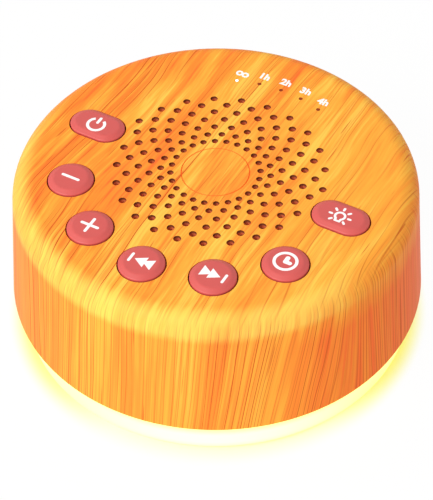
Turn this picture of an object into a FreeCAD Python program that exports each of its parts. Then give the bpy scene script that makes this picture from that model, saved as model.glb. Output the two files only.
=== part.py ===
import FreeCAD, Part
import math
import os
import Sketcher

# White noise sound machine: a round housing on a lit base, with a speaker under its grille.
# Origin on the table under the centre, +Z up, -Y towards the user, +X to the user's right.

# Driving dimensions, in millimetres and degrees
SIZES = {
    # housing
    "body_radius": 50.0,
    "side_lean": 2.6,
    "housing_height": 33.6,
    "housing_wall": 2.0,
    "top_thickness": 2.2,
    "edge_rounding": 5.4,
    "inner_rounding": 3.2,
    "groove_width": 0.35,
    "groove_depth": 0.25,
    "boss_inset": 5.9,
    "boss_radius": 2.8,
    "pilot_clearance": 0.05,
    # grille
    "holes_per_ring": 24,
    "outer_arc_holes": 11,
    "grille_margin": 1.98,
    "arc_step": 2.24,
    "ring_step_5": 2.47,
    "ring_step_4": 2.63,
    "ring_step_3": 2.69,
    "ring_step_2": 2.61,
    "ring_step_1": 2.40,
    "groove_step": 2.52,
    "hole_radius_1": 0.77,
    "hole_radius_2": 0.81,
    "hole_radius_3": 0.85,
    "hole_radius_4": 0.88,
    "hole_radius_5": 0.92,
    "hole_radius_6": 0.92,
    "hole_radius_7": 0.89,
    # lit base
    "foot_drop": 1.0,
    "base_height": 9.8,
    "rim_step": 1.4,
    "diffuser_lean": 1.2,
    "diffuser_foot_wall": 1.8,
    "diffuser_rounding": 0.8,
    "spigot_clearance": 0.4,
    "spigot_wall": 1.6,
    "spigot_height": 1.8,
    "lip_width": 2.2,
    "lip_thickness": 1.4,
    "plate_clearance": 0.2,
    "plate_thickness": 2.2,
    "foot_inset": 7.4,
    "foot_radius": 4.5,
    "foot_recess": 0.5,
    "foot_clearance": 0.1,
    # screws
    "housing_screw_radius": 1.25,
    "housing_screw_length": 12.0,
    "housing_head_radius": 2.5,
    "housing_head_height": 1.3,
    "head_inset": 0.1,
    "small_screw_radius": 0.95,
    "small_head_radius": 1.7,
    "small_head_height": 1.2,
    "screw_clearance": 0.2,
    "screw_end_gap": 0.3,
    "recess_width": 0.5,
    "recess_depth": 0.5,
    "recess_share": 1.2,
    # buttons
    "button_inset": 13.66,
    "button_step_angle": 28.35,
    "button_radius": 5.35,
    "oblong_inset": 14.9,
    "oblong_half_length": 6.9,
    "oblong_half_width": 4.4,
    "oblong_setback": 0.3,
    "button_gap": 0.3,
    "button_rise": 1.0,
    "shoulder_width": 1.3,
    "shoulder_drop": 0.7,
    "button_rounding": 1.2,
    "button_edge_rounding": 0.4,
    "collar_overlap": 0.9,
    "collar_thickness": 0.8,
    "collar_clearance": 0.1,
    # push switches and key board
    "switch_width": 6.0,
    "switch_height": 3.5,
    "plunger_radius": 1.75,
    "plunger_clearance": 0.05,
    "plunger_rise": 1.0,
    "plunger_length": 2.3,
    "plunger_travel_room": 0.8,
    "board_thickness": 1.6,
    "key_board_inset": 8.0,
    "key_board_width": 11.4,
    "board_clearance": 0.4,
    "post_radius": 1.8,
    "post_inset": 2.0,
    "rear_post_angle": 24.0,
    "side_post_angle": -15.5,
    "key_screw_length": 5.0,
    # timer lights
    "light_inset": 14.75,
    "light_step_angle": 10.0,
    "light_hole_radius": 0.5,
    "guide_clearance": 0.05,
    "guide_rail_thickness": 1.0,
    "guide_rail_margin": 1.9,
    "guide_leg_height": 1.4,
    "guide_leg_width": 1.2,
    "led_length": 1.6,
    "led_width": 0.8,
    "led_height": 0.8,
    # speaker
    "cloth_thickness": 0.2,
    "gasket_thickness": 1.0,
    "speaker_clearance": 0.2,
    "gasket_width": 1.5,
    "rim_width": 2.4,
    "rim_thickness": 1.2,
    "basket_depth": 7.4,
    "basket_wall": 1.0,
    "shelf_radius": 15.2,
    "shelf_width": 2.2,
    "shelf_rise": 1.1,
    "basket_floor": 1.0,
    "pole_plate_radius": 13.0,
    "pole_plate_thickness": 2.0,
    "coil_gap": 0.4,
    "magnet_overhang": 0.5,
    "magnet_step": 1.0,
    "magnet_height": 5.0,
    "pole_radius": 6.0,
    "yoke_thickness": 2.0,
    "pole_gap": 0.35,
    "former_wall": 0.25,
    "winding_thickness": 0.6,
    "winding_length": 4.5,
    "coil_drop": 4.3,
    "surround_width": 2.6,
    "cone_depth": 5.6,
    "cone_thickness": 0.5,
    "cone_top_drop": 0.9,
    "cone_land": 2.4,
    "cap_margin": 0.6,
    "cap_height": 3.0,
    "cap_wall": 0.4,
    "cap_shoulder_share": 0.93,
    "cap_crown_share": 0.55,
    "surround_thickness": 0.3,
    "surround_rise": 0.3,
    "surround_lip": 0.8,
    "spider_thickness": 0.4,
    "clamp_reach": 2.3,
    "clamp_boss_radius": 1.9,
    "washer_radius": 3.4,
    "washer_thickness": 0.5,
    "terminal_length": 3.2,
    "terminal_width": 7.0,
    "terminal_thickness": 1.4,
    "terminal_gap": 0.1,
    # main board
    "main_board_clearance": 2.7,
    "main_board_lift": 9.8,
    "main_post_inset": 7.0,
    "main_post_radius": 2.4,
    "main_screw_length": 6.0,
    "tongue_half_width": 7.0,
    "tongue_clearance": 1.4,
    "chip_share": 0.33,
    "capacitor_share": 0.53,
    "chip_length": 8.0,
    "chip_width": 5.0,
    "chip_height": 1.6,
    "amplifier_length": 5.0,
    "capacitor_radius": 3.15,
    "capacitor_height": 5.4,
    # power socket
    "socket_half_width": 4.47,
    "socket_half_height": 1.63,
    "socket_wall": 0.3,
    "socket_depth": 7.3,
    "socket_recess": 0.8,
    "socket_back_wall": 1.0,
    "socket_gap": 0.3,
    "insert_width": 6.6,
    "insert_thickness": 0.7,
    "insert_length": 4.5,
    # light board
    "light_board_gap": 1.0,
    "light_board_width": 11.4,
    "light_board_thickness": 1.0,
    "light_board_lift": 1.6,
    "light_post_inset": 3.5,
    "light_post_radius": 2.2,
    "night_led_count": 12,
    "night_led_inset": 2.2,
    "night_led_width": 2.8,
    "night_led_height": 1.4,
    # wires
    "wire_radius": 0.6,
    "wire_spacing": 3.0,
    "wire_inset": 0.8,
    "speaker_wire_step": 3.2,
    "light_wire_step": 1.8,
    "cable_step": -1.8,
    "wire_drop_share": 0.34,
    "wire_end_share": 0.36,
    "bend_share": 0.45,
    "light_wire_angle": 20.0,
    "cable_angle": 120.0,
    "cable_width": 8.0,
    "cable_thickness": 1.0,
}

doc = FreeCAD.newDocument("sound_machine")
sheet = doc.addObject("Spreadsheet::Sheet", "Dims")
for row, (alias, value) in enumerate(SIZES.items(), start=1):
    sheet.set(f"A{row}", alias)
    sheet.set(f"B{row}", str(value))
    sheet.setAlias(f"B{row}", alias)
doc.recompute()


def size(alias):
    """The value of one driving dimension."""
    return float(sheet.get(alias))


# Heights above the table, from the bottom up
PLATE_BOTTOM = "Dims.foot_drop"
PLATE_TOP = f"({PLATE_BOTTOM} + Dims.plate_thickness)"
LIGHT_BOARD_BOTTOM = f"({PLATE_TOP} + Dims.light_board_lift)"
LIGHT_BOARD_TOP = f"({LIGHT_BOARD_BOTTOM} + Dims.light_board_thickness)"
HOUSING_BOTTOM = f"({PLATE_BOTTOM} + Dims.base_height)"
MAIN_BOARD_BOTTOM = f"({PLATE_TOP} + Dims.main_board_lift)"
MAIN_BOARD_TOP = f"({MAIN_BOARD_BOTTOM} + Dims.board_thickness)"
TOP = f"({HOUSING_BOTTOM} + Dims.housing_height)"
UNDERSIDE = f"({TOP} - Dims.top_thickness)"

# Heights of the keys, from the top plate down
COLLAR_TOP = f"({UNDERSIDE} - Dims.collar_clearance)"
COLLAR_BOTTOM = f"({COLLAR_TOP} - Dims.collar_thickness)"
SWITCH_TOP = f"({COLLAR_BOTTOM} - Dims.plunger_rise)"
KEY_BOARD_TOP = f"({SWITCH_TOP} - Dims.switch_height)"
KEY_BOARD_BOTTOM = f"({KEY_BOARD_TOP} - Dims.board_thickness)"

# Heights of the speaker, from the top plate down
GASKET_TOP = f"({UNDERSIDE} - Dims.cloth_thickness)"
RIM_TOP = f"({GASKET_TOP} - Dims.gasket_thickness)"
RIM_BOTTOM = f"({RIM_TOP} - Dims.rim_thickness)"
SHELF = f"({RIM_BOTTOM} - Dims.basket_depth)"
BASKET_FLOOR_TOP = f"({SHELF} - Dims.shelf_rise)"
POLE_TOP = f"({BASKET_FLOOR_TOP} - Dims.basket_floor)"
MAGNET_TOP = f"({POLE_TOP} - Dims.pole_plate_thickness)"
YOKE_TOP = f"({MAGNET_TOP} - Dims.magnet_height)"
YOKE_BOTTOM = f"({YOKE_TOP} - Dims.yoke_thickness)"
CONE_TOP = f"({RIM_TOP} - Dims.cone_top_drop)"
CONE_LAND = f"({CONE_TOP} - Dims.cone_depth)"

# Radii of the outside and of what fits inside it, from the body inwards
HOUSING_INNER = "(Dims.body_radius - Dims.housing_wall)"
TOP_EDGE = "(Dims.body_radius - Dims.side_lean)"
DIFFUSER_RIM = "(Dims.body_radius - Dims.rim_step)"
DIFFUSER_FOOT = f"({DIFFUSER_RIM} - Dims.diffuser_lean)"
DIFFUSER_FOOT_INNER = f"({DIFFUSER_FOOT} - Dims.diffuser_foot_wall)"
SPIGOT = f"({HOUSING_INNER} - Dims.spigot_clearance)"
PLATE = f"({DIFFUSER_FOOT_INNER} - Dims.plate_clearance)"
LIP = f"({DIFFUSER_FOOT_INNER} - Dims.lip_width)"
BOSS_CIRCLE = f"({PLATE} - Dims.boss_inset)"
FOOT_CIRCLE = f"({PLATE} - Dims.foot_inset)"
LIGHT_BOARD = f"({LIP} - Dims.light_board_gap)"
LIGHT_BOARD_INNER = f"({LIGHT_BOARD} - Dims.light_board_width)"
LIGHT_POST_CIRCLE = f"({LIGHT_BOARD_INNER} + Dims.light_post_inset)"
NIGHT_LED_CIRCLE = f"({LIGHT_BOARD} - Dims.night_led_inset)"
MAIN_BOARD = f"({BOSS_CIRCLE} - Dims.boss_radius - Dims.main_board_clearance)"
MAIN_POST_CIRCLE = f"({MAIN_BOARD} - Dims.main_post_inset)"
KEY_BOARD = f"({HOUSING_INNER} - Dims.key_board_inset)"
KEY_BOARD_INNER = f"({KEY_BOARD} - Dims.key_board_width)"
POST_CIRCLE = f"({KEY_BOARD} - Dims.post_inset)"
SOCKET_FRONT = "(Dims.body_radius - Dims.socket_recess)"

# Places on the top plate
BUTTON_CIRCLE = f"({TOP_EDGE} - Dims.button_inset)"
OBLONG_PLACE = f"({TOP_EDGE} - Dims.oblong_inset)"
LIGHT_CIRCLE = f"({TOP_EDGE} - Dims.light_inset)"
OBLONG_OPENING_END = f"({OBLONG_PLACE} - Dims.oblong_half_length - Dims.button_gap)"
RING_6 = f"({OBLONG_OPENING_END} - Dims.grille_margin)"
RING_5 = f"({RING_6} - Dims.ring_step_5)"
RING_4 = f"({RING_5} - Dims.ring_step_4)"
RING_3 = f"({RING_4} - Dims.ring_step_3)"
RING_2 = f"({RING_3} - Dims.ring_step_2)"
RING_1 = f"({RING_2} - Dims.ring_step_1)"
RINGS = (RING_1, RING_2, RING_3, RING_4, RING_5, RING_6)
OUTER_ARC = f"({RING_6} + Dims.arc_step)"
GROOVE = f"({RING_1} - Dims.groove_step)"
HOLE_ANGLE = "(360 / Dims.holes_per_ring)"

# Radii of the speaker, which fits between the collars of the oblong buttons
SPEAKER = f"({OBLONG_OPENING_END} - Dims.collar_overlap - Dims.speaker_clearance)"
CLAMP_CIRCLE = f"({SPEAKER} + Dims.clamp_reach)"
RIM_INNER = f"({SPEAKER} - Dims.rim_width)"
CONE = f"({RIM_INNER} - Dims.surround_width)"
FORMER_INNER = "(Dims.pole_radius + Dims.pole_gap)"
FORMER_OUTER = f"({FORMER_INNER} + Dims.former_wall)"
WINDING = f"({FORMER_OUTER} + Dims.winding_thickness)"
POLE_PLATE_BORE = f"({WINDING} + Dims.coil_gap)"
MAGNET_BORE = f"({POLE_PLATE_BORE} + Dims.magnet_step)"
CONE_LAND_EDGE = f"({FORMER_OUTER} + Dims.cone_land)"
DUST_CAP = f"({CONE_LAND_EDGE} - Dims.cap_margin)"

# The angles of the round buttons, counted from +X, and their names from left to right
ROUND_BUTTONS = ("volume_down", "volume_up", "previous", "next", "timer")
OBLONG_BUTTONS = {"power": "-1", "light": "1"}


def polar(radius, angle):
    """The x and y of a point at a radius and an angle."""
    return f"({radius}) * cos({angle})", f"({radius}) * sin({angle})"


def round_button_place(index):
    """The centre of one round button: an arc of five, its middle one nearest the user."""
    steps = index - (len(ROUND_BUTTONS) - 1) / 2
    return polar(BUTTON_CIRCLE, f"-90 + {steps} * Dims.button_step_angle")


def oblong_button_place(name):
    """The centre of one oblong button, at the left or the right."""
    return f"{OBLONG_BUTTONS[name]} * {OBLONG_PLACE}", "Dims.oblong_setback"


def boss_places():
    """The four housing bosses, the front ones between two round buttons."""
    angle = "(90 - 3 * Dims.button_step_angle / 2)"
    angles = (angle, f"180 - {angle}", f"180 + {angle}", f"-{angle}")
    return [polar(BOSS_CIRCLE, angle) for angle in angles]


def key_post_places():
    """The six posts that carry the key board, in mirrored pairs."""
    angles = ("Dims.rear_post_angle", "Dims.side_post_angle", "-90 + Dims.button_step_angle / 2")
    right = [polar(POST_CIRCLE, angle) for angle in angles]
    return right + [(f"-({across})", along) for across, along in right]


def clamp_places():
    """The three bosses round the speaker: two between grille holes, one between two buttons."""
    angle = f"90 - 7 * {HOLE_ANGLE} / 2"
    angles = (angle, f"180 - ({angle})", "-90 + Dims.button_step_angle / 2")
    return [polar(CLAMP_CIRCLE, angle) for angle in angles]


def quarter_places(circle, first_angle):
    """Four places a quarter turn apart."""
    return [polar(circle, f"{first_angle + 90 * turn}") for turn in range(4)]


def light_places():
    """The five timer lights."""
    return [polar(LIGHT_CIRCLE, f"90 + {step} * Dims.light_step_angle") for step in (2, 1, 0, -1, -2)]


# Where sketch curves lie before their constraints move them
START_SIDE = 60
START_RADIUS = 20
START_STEP = 5

# How closely an edge is matched to a radius or a height
MATCH = 1e-4


# Sketches and features

def new_body(label):
    """An empty body for one piece."""
    body = doc.addObject("PartDesign::Body", label)
    body.Label = label
    return body


def origin_feature(body, role):
    """A plane or an axis of the body's own origin."""
    return [feature for feature in body.Origin.OriginFeatures if feature.Role == role][0]


def sketch_on(body, role, name, offset="0"):
    """A sketch on one of the body's planes, moved along the plane's normal."""
    sketch = body.newObject("Sketcher::SketchObject", name)
    sketch.AttachmentSupport = [(origin_feature(body, role), "")]
    sketch.MapMode = "FlatFace"
    sketch.setExpression("AttachmentOffset.Base.z", offset)
    return sketch


def hold_point(sketch, curve, end, start, across, up):
    """Ties one point of a curve to an x and a y."""
    for kind, value, text in (("DistanceX", start.x, across), ("DistanceY", start.y, up)):
        index = sketch.addConstraint(Sketcher.Constraint(kind, -1, 1, curve, end, value))
        sketch.setExpression(f"Constraints[{index}]", text)


def add_circle(sketch, across, up, radius):
    """A circle with its centre and radius tied."""
    start = FreeCAD.Vector(START_STEP * sketch.GeometryCount, START_STEP, 0)
    curve = sketch.addGeometry(Part.Circle(start, FreeCAD.Vector(0, 0, 1), 1.0), False)
    index = sketch.addConstraint(Sketcher.Constraint("Radius", curve, 1.0))
    sketch.setExpression(f"Constraints[{index}]", radius)
    hold_point(sketch, curve, 3, start, across, up)


def add_outline(sketch, corners):
    """A closed outline of straight lines through the corners."""
    count = len(corners)
    first = sketch.GeometryCount
    starts = []
    for index in range(count):
        turn = 2 * math.pi * index / count
        across_start = START_SIDE + START_RADIUS * math.cos(turn)
        starts.append(FreeCAD.Vector(across_start, START_SIDE + START_RADIUS * math.sin(turn), 0))
    for index in range(count):
        sketch.addGeometry(Part.LineSegment(starts[index], starts[(index + 1) % count]), False)
    for index, (across, up) in enumerate(corners):
        after = first + (index + 1) % count
        sketch.addConstraint(Sketcher.Constraint("Coincident", first + index, 2, after, 1))
        hold_point(sketch, first + index, 1, starts[index], across, up)


def add_slot(sketch, across, up, half_length, half_width):
    """A slot along the sketch's x axis, with half-round ends."""
    first = sketch.GeometryCount
    upright = FreeCAD.Vector(0, 0, 1)
    middle = START_SIDE + START_RADIUS * first
    right = FreeCAD.Vector(middle + START_STEP, START_SIDE, 0)
    left = FreeCAD.Vector(middle - START_STEP, START_SIDE, 0)
    rise = FreeCAD.Vector(0, START_STEP, 0)
    quarter = math.pi / 2
    sketch.addGeometry(Part.ArcOfCircle(Part.Circle(right, upright, START_STEP), -quarter, quarter), False)
    sketch.addGeometry(Part.LineSegment(right + rise, left + rise), False)
    sketch.addGeometry(Part.ArcOfCircle(Part.Circle(left, upright, START_STEP), quarter, 3 * quarter), False)
    sketch.addGeometry(Part.LineSegment(left - rise, right - rise), False)
    for step in range(4):
        sketch.addConstraint(Sketcher.Constraint("Tangent", first + step, 2, first + (step + 1) % 4, 1))
    sketch.addConstraint(Sketcher.Constraint("Equal", first, first + 2))
    index = sketch.addConstraint(Sketcher.Constraint("Radius", first, START_STEP))
    sketch.setExpression(f"Constraints[{index}]", half_width)
    reach = f"({half_length} - {half_width})"
    hold_point(sketch, first, 3, right, f"{across} + {reach}", up)
    hold_point(sketch, first + 2, 3, left, f"{across} - {reach}", up)


def pad(body, sketch, name, length, reversed_side=False):
    """Adds the sketch's area, drawn out along its normal."""
    feature = body.newObject("PartDesign::Pad", name)
    feature.Profile = sketch
    feature.setExpression("Length", length)
    feature.Reversed = reversed_side
    return feature


def pocket(body, sketch, name, depth):
    """Cuts the sketch's area away, against its normal."""
    feature = body.newObject("PartDesign::Pocket", name)
    feature.Profile = sketch
    feature.setExpression("Length", depth)
    return feature


def around(body, feature, name, count, angle="360"):
    """Repeats a feature about the body's upright axis."""
    pattern = body.newObject("PartDesign::PolarPattern", name)
    pattern.Originals = [feature]
    pattern.Axis = (origin_feature(body, "Z_Axis"), [""])
    pattern.setExpression("Angle", angle)
    pattern.setExpression("Occurrences", count)
    body.Tip = pattern
    return pattern


def turned(label, corners):
    """A piece turned about the upright axis, from its half section."""
    body = new_body(label)
    sketch = sketch_on(body, "XZ_Plane", f"{label}_section")
    add_outline(sketch, corners)
    feature = body.newObject("PartDesign::Revolution", f"{label}_turned")
    feature.Profile = sketch
    feature.ReferenceAxis = (sketch, ["V_Axis"])
    feature.Angle = 360
    return body


def lies_level(edge, height):
    """Whether an edge lies at this height from end to end."""
    box = edge.BoundBox
    return abs(box.ZMin - height) < MATCH and abs(box.ZMax - height) < MATCH


def rim_names(shape, radius, height):
    """The round edges of a shape with this radius at this height."""
    names = []
    for index, edge in enumerate(shape.Edges, start=1):
        if not isinstance(edge.Curve, Part.Circle):
            continue
        same_radius = abs(edge.Curve.Radius - radius) < MATCH
        if same_radius and lies_level(edge, height):
            names.append(f"Edge{index}")
    return names


def level_edge_names(shape, height):
    """Every edge of a shape that lies at this height."""
    names = []
    for index, edge in enumerate(shape.Edges, start=1):
        if lies_level(edge, height):
            names.append(f"Edge{index}")
    return names


def round_over(body, names, name, radius):
    """Rounds edges of the body's last feature."""
    fillet = body.newObject("PartDesign::Fillet", name)
    fillet.Base = (fillet.BaseFeature, names)
    fillet.setExpression("Radius", radius)
    body.Tip = fillet
    return fillet


def bevel(body, names, name, down, across):
    """Slopes the edges of the body's last feature."""
    chamfer = body.newObject("PartDesign::Chamfer", name)
    chamfer.Base = (chamfer.BaseFeature, names)
    chamfer.ChamferType = "Two distances"
    chamfer.setExpression("Size", down)
    chamfer.setExpression("Size2", across)
    body.Tip = chamfer
    return chamfer


def add_posts(body, name, places, outer, bore, bottom, top):
    """Hollow posts on a body, each with a bore for its screw."""
    sketch = sketch_on(body, "XY_Plane", f"{name}_section", bottom)
    for across, along in places:
        add_circle(sketch, across, along, outer)
        add_circle(sketch, across, along, bore)
    return pad(body, sketch, name, f"{top} - {bottom}")


def cut_round_holes(body, name, places, radius, top, depth):
    """Round holes, cut downwards from a height."""
    sketch = sketch_on(body, "XY_Plane", f"{name}_section", top)
    for across, along in places:
        add_circle(sketch, across, along, radius)
    return pocket(body, sketch, name, depth)


# Primitives and groups of like solids

def place(item, across, along, height):
    """Ties an item's position."""
    item.setExpression("Placement.Base.x", across)
    item.setExpression("Placement.Base.y", along)
    item.setExpression("Placement.Base.z", height)


def cylinder(name, across, along, bottom, radius, length):
    item = doc.addObject("Part::Cylinder", name)
    item.setExpression("Radius", radius)
    item.setExpression("Height", length)
    place(item, across, along, bottom)
    return item


def block(name, across, along, bottom, length, width, height):
    """A block centred on a place."""
    item = doc.addObject("Part::Box", name)
    item.setExpression("Length", length)
    item.setExpression("Width", width)
    item.setExpression("Height", height)
    place(item, f"{across} - ({length}) / 2", f"{along} - ({width}) / 2", bottom)
    return item


def joined(name, items):
    item = doc.addObject("Part::MultiFuse", name)
    item.Shapes = items
    return item


def cut_from(name, base, tool):
    item = doc.addObject("Part::Cut", name)
    item.Base = base
    item.Tool = tool
    return item


def group(label, items):
    """Like solids that share one node."""
    item = doc.addObject("Part::Compound", label)
    item.Links = items
    item.Label = label
    return item


def screw(name, at, seat, upwards, head_radius, head_height, shank_radius, length):
    """A pan-head screw with a cross recess, its head's flat side on the seat."""
    across, along = at
    head_bottom = f"{seat} - {head_height}" if upwards else seat
    shank_bottom = seat if upwards else f"{seat} - {length}"
    recess_bottom = head_bottom if upwards else f"{seat} + {head_height} - Dims.recess_depth"
    head = cylinder(f"{name}_head", across, along, head_bottom, head_radius, head_height)
    shank = cylinder(f"{name}_shank", across, along, shank_bottom, shank_radius, length)
    whole = joined(f"{name}_blank", [head, shank])
    arm = f"Dims.recess_share * {head_radius}"
    slim = "Dims.recess_width"
    arms = [
        block(f"{name}_arm_a", across, along, recess_bottom, arm, slim, "Dims.recess_depth"),
        block(f"{name}_arm_b", across, along, recess_bottom, slim, arm, "Dims.recess_depth"),
    ]
    return cut_from(name, whole, joined(f"{name}_recess", arms))


def screws(label, places, seat, upwards, head, head_height, shank, length):
    """A group of like screws."""
    made = []
    for index, at in enumerate(places, start=1):
        made.append(screw(f"{label}_{index}", at, seat, upwards, head, head_height, shank, length))
    return group(label, made)


# The pieces

def top_housing():
    """The printed shell: side wall, top plate, bosses, grille and openings."""
    inner_edge = f"({TOP_EDGE} - Dims.housing_wall)"
    body = turned("top_housing", [
        ("0", UNDERSIDE),
        (inner_edge, UNDERSIDE),
        (HOUSING_INNER, HOUSING_BOTTOM),
        ("Dims.body_radius", HOUSING_BOTTOM),
        (TOP_EDGE, TOP),
        ("0", TOP),
    ])
    doc.recompute()
    top = size("foot_drop") + size("base_height") + size("housing_height")
    outer_radius = size("body_radius") - size("side_lean")
    outer_rim = rim_names(body.Shape, outer_radius, top)
    round_over(body, outer_rim, "outer_rounding", "Dims.edge_rounding")
    doc.recompute()
    inner_radius = outer_radius - size("housing_wall")
    inner_rim = rim_names(body.Shape, inner_radius, top - size("top_thickness"))
    round_over(body, inner_rim, "inner_rounding", "Dims.inner_rounding")

    pilot = "Dims.housing_screw_radius + Dims.pilot_clearance"
    add_posts(body, "housing_bosses", boss_places(), "Dims.boss_radius", pilot, PLATE_TOP, UNDERSIDE)
    small_pilot = "Dims.small_screw_radius + Dims.pilot_clearance"
    add_posts(body, "key_posts", key_post_places(), "Dims.post_radius", small_pilot, KEY_BOARD_TOP, UNDERSIDE)
    add_posts(body, "clamp_bosses", clamp_places(), "Dims.clamp_boss_radius", small_pilot, RIM_BOTTOM,
              UNDERSIDE)

    groove_sketch = sketch_on(body, "XZ_Plane", "ring_groove_section")
    groove_inner = f"{GROOVE} - Dims.groove_width / 2"
    groove_outer = f"{GROOVE} + Dims.groove_width / 2"
    add_outline(groove_sketch, [
        (groove_inner, TOP),
        (GROOVE, f"{TOP} - Dims.groove_depth"),
        (groove_outer, TOP),
    ])
    groove = body.newObject("PartDesign::Groove", "ring_groove")
    groove.Profile = groove_sketch
    groove.ReferenceAxis = (groove_sketch, ["V_Axis"])
    groove.Angle = 360

    ring_sets = (("odd_rings", (1, 3, 5), "0"), ("even_rings", (2, 4, 6), f"{HOLE_ANGLE} / 2"))
    for name, rings, angle in ring_sets:
        sketch = sketch_on(body, "XY_Plane", f"{name}_section", TOP)
        for ring in rings:
            across, along = polar(RINGS[ring - 1], angle)
            add_circle(sketch, across, along, f"Dims.hole_radius_{ring}")
        holes = pocket(body, sketch, f"{name}_first", "Dims.top_thickness")
        around(body, holes, name, "Dims.holes_per_ring")
    arc_angle = f"((Dims.outer_arc_holes - 1) * {HOLE_ANGLE})"
    arc_start = [polar(OUTER_ARC, f"90 - {arc_angle} / 2")]
    arc_hole = cut_round_holes(body, "outer_arc_first", arc_start, "Dims.hole_radius_7", TOP,
                               "Dims.top_thickness")
    around(body, arc_hole, "outer_arc", "Dims.outer_arc_holes", arc_angle)

    openings = sketch_on(body, "XY_Plane", "button_openings_section", TOP)
    for index in range(len(ROUND_BUTTONS)):
        across, along = round_button_place(index)
        add_circle(openings, across, along, "Dims.button_radius + Dims.button_gap")
    pocket(body, openings, "round_button_openings", "Dims.top_thickness")
    slots = sketch_on(body, "XY_Plane", "oblong_openings_section", TOP)
    for name in OBLONG_BUTTONS:
        across, along = oblong_button_place(name)
        half_length = "(Dims.oblong_half_length + Dims.button_gap)"
        add_slot(slots, across, along, half_length, "(Dims.oblong_half_width + Dims.button_gap)")
    pocket(body, slots, "oblong_button_openings", "Dims.top_thickness")
    cut_round_holes(body, "timer_light_holes", light_places(), "Dims.light_hole_radius", TOP,
                    "Dims.top_thickness")

    socket_opening = sketch_on(body, "XZ_Plane", "socket_opening_section")
    half_width = "(Dims.socket_half_width + Dims.socket_gap)"
    add_slot(socket_opening, "0", f"{MAIN_BOARD_TOP} + Dims.socket_half_height", half_width,
             "(Dims.socket_half_height + Dims.socket_gap)")
    body.Tip = pocket(body, socket_opening, "socket_opening", "Dims.body_radius")
    return body


def light_diffuser():
    """The translucent ring that shows under the housing and spreads the night light."""
    spigot_top = f"({HOUSING_BOTTOM} + Dims.spigot_height)"
    lip_top = f"({PLATE_TOP} + Dims.lip_thickness)"
    body = turned("light_diffuser", [
        (DIFFUSER_FOOT_INNER, PLATE_BOTTOM),
        (DIFFUSER_FOOT, PLATE_BOTTOM),
        (DIFFUSER_RIM, HOUSING_BOTTOM),
        (SPIGOT, HOUSING_BOTTOM),
        (SPIGOT, spigot_top),
        (f"{SPIGOT} - Dims.spigot_wall", spigot_top),
        (f"{SPIGOT} - Dims.spigot_wall", lip_top),
        (LIP, lip_top),
        (LIP, PLATE_TOP),
        (DIFFUSER_FOOT_INNER, PLATE_TOP),
    ])
    doc.recompute()
    foot_radius = size("body_radius") - size("rim_step") - size("diffuser_lean")
    foot_rim = rim_names(body.Shape, foot_radius, size("foot_drop"))
    round_over(body, foot_rim, "diffuser_rounding", "Dims.diffuser_rounding")
    return body


def base_plate():
    """The flat bottom, with posts for both lower boards and recesses for screws and feet."""
    body = turned("base_plate", [
        ("0", PLATE_BOTTOM),
        (PLATE, PLATE_BOTTOM),
        (PLATE, PLATE_TOP),
        ("0", PLATE_TOP),
    ])
    small_pilot = "Dims.small_screw_radius + Dims.pilot_clearance"
    main_places = quarter_places(MAIN_POST_CIRCLE, 45)
    add_posts(body, "main_board_posts", main_places, "Dims.main_post_radius", small_pilot, PLATE_TOP,
              MAIN_BOARD_BOTTOM)
    light_posts = quarter_places(LIGHT_POST_CIRCLE, 0)
    add_posts(body, "light_board_posts", light_posts, "Dims.light_post_radius", small_pilot, PLATE_TOP,
              LIGHT_BOARD_BOTTOM)
    head_room = "(Dims.housing_head_height + Dims.head_inset)"
    cut_round_holes(body, "screw_holes", boss_places(), "Dims.housing_screw_radius + Dims.screw_clearance",
                    PLATE_TOP, "Dims.plate_thickness")
    cut_round_holes(body, "screw_recesses", boss_places(), "Dims.housing_head_radius + Dims.screw_clearance",
                    f"{PLATE_BOTTOM} + {head_room}", head_room)
    feet = quarter_places(FOOT_CIRCLE, 0)
    body.Tip = cut_round_holes(body, "foot_recesses", feet, "Dims.foot_radius + Dims.foot_clearance",
                               f"{PLATE_BOTTOM} + Dims.foot_recess", "Dims.foot_recess")
    return body


def rubber_feet():
    """Four feet, each set in its recess."""
    names = ("foot_right", "foot_back", "foot_left", "foot_front")
    feet = []
    for label, (across, along) in zip(names, quarter_places(FOOT_CIRCLE, 0)):
        body = turned(label, [
            ("0", "0"),
            ("Dims.foot_radius", "0"),
            ("Dims.foot_radius", "Dims.foot_drop + Dims.foot_recess"),
            ("0", "Dims.foot_drop + Dims.foot_recess"),
        ])
        place(body, across, along, "0")
        feet.append(body)
    return feet


def housing_screws():
    seat = f"({PLATE_BOTTOM} + Dims.head_inset + Dims.housing_head_height)"
    return screws("housing_screws", boss_places(), seat, True, "Dims.housing_head_radius",
                  "Dims.housing_head_height", "Dims.housing_screw_radius", "Dims.housing_screw_length")


def ring(label, inner, outer, bottom, top):
    """A plain ring."""
    return turned(label, [(inner, bottom), (outer, bottom), (outer, top), (inner, top)])


def speaker_frame():
    """The speaker's basket: rim, sloping wall, spider shelf and floor."""
    return turned("speaker_frame", [
        (MAGNET_BORE, POLE_TOP),
        ("Dims.shelf_radius + Dims.basket_wall", POLE_TOP),
        ("Dims.shelf_radius + Dims.basket_wall", SHELF),
        (f"{RIM_INNER} + Dims.basket_wall", RIM_BOTTOM),
        (SPEAKER, RIM_BOTTOM),
        (SPEAKER, RIM_TOP),
        (RIM_INNER, RIM_TOP),
        (RIM_INNER, RIM_BOTTOM),
        ("Dims.shelf_radius", SHELF),
        ("Dims.shelf_radius - Dims.shelf_width", SHELF),
        ("Dims.shelf_radius - Dims.shelf_width", BASKET_FLOOR_TOP),
        (MAGNET_BORE, BASKET_FLOOR_TOP),
    ])


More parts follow.
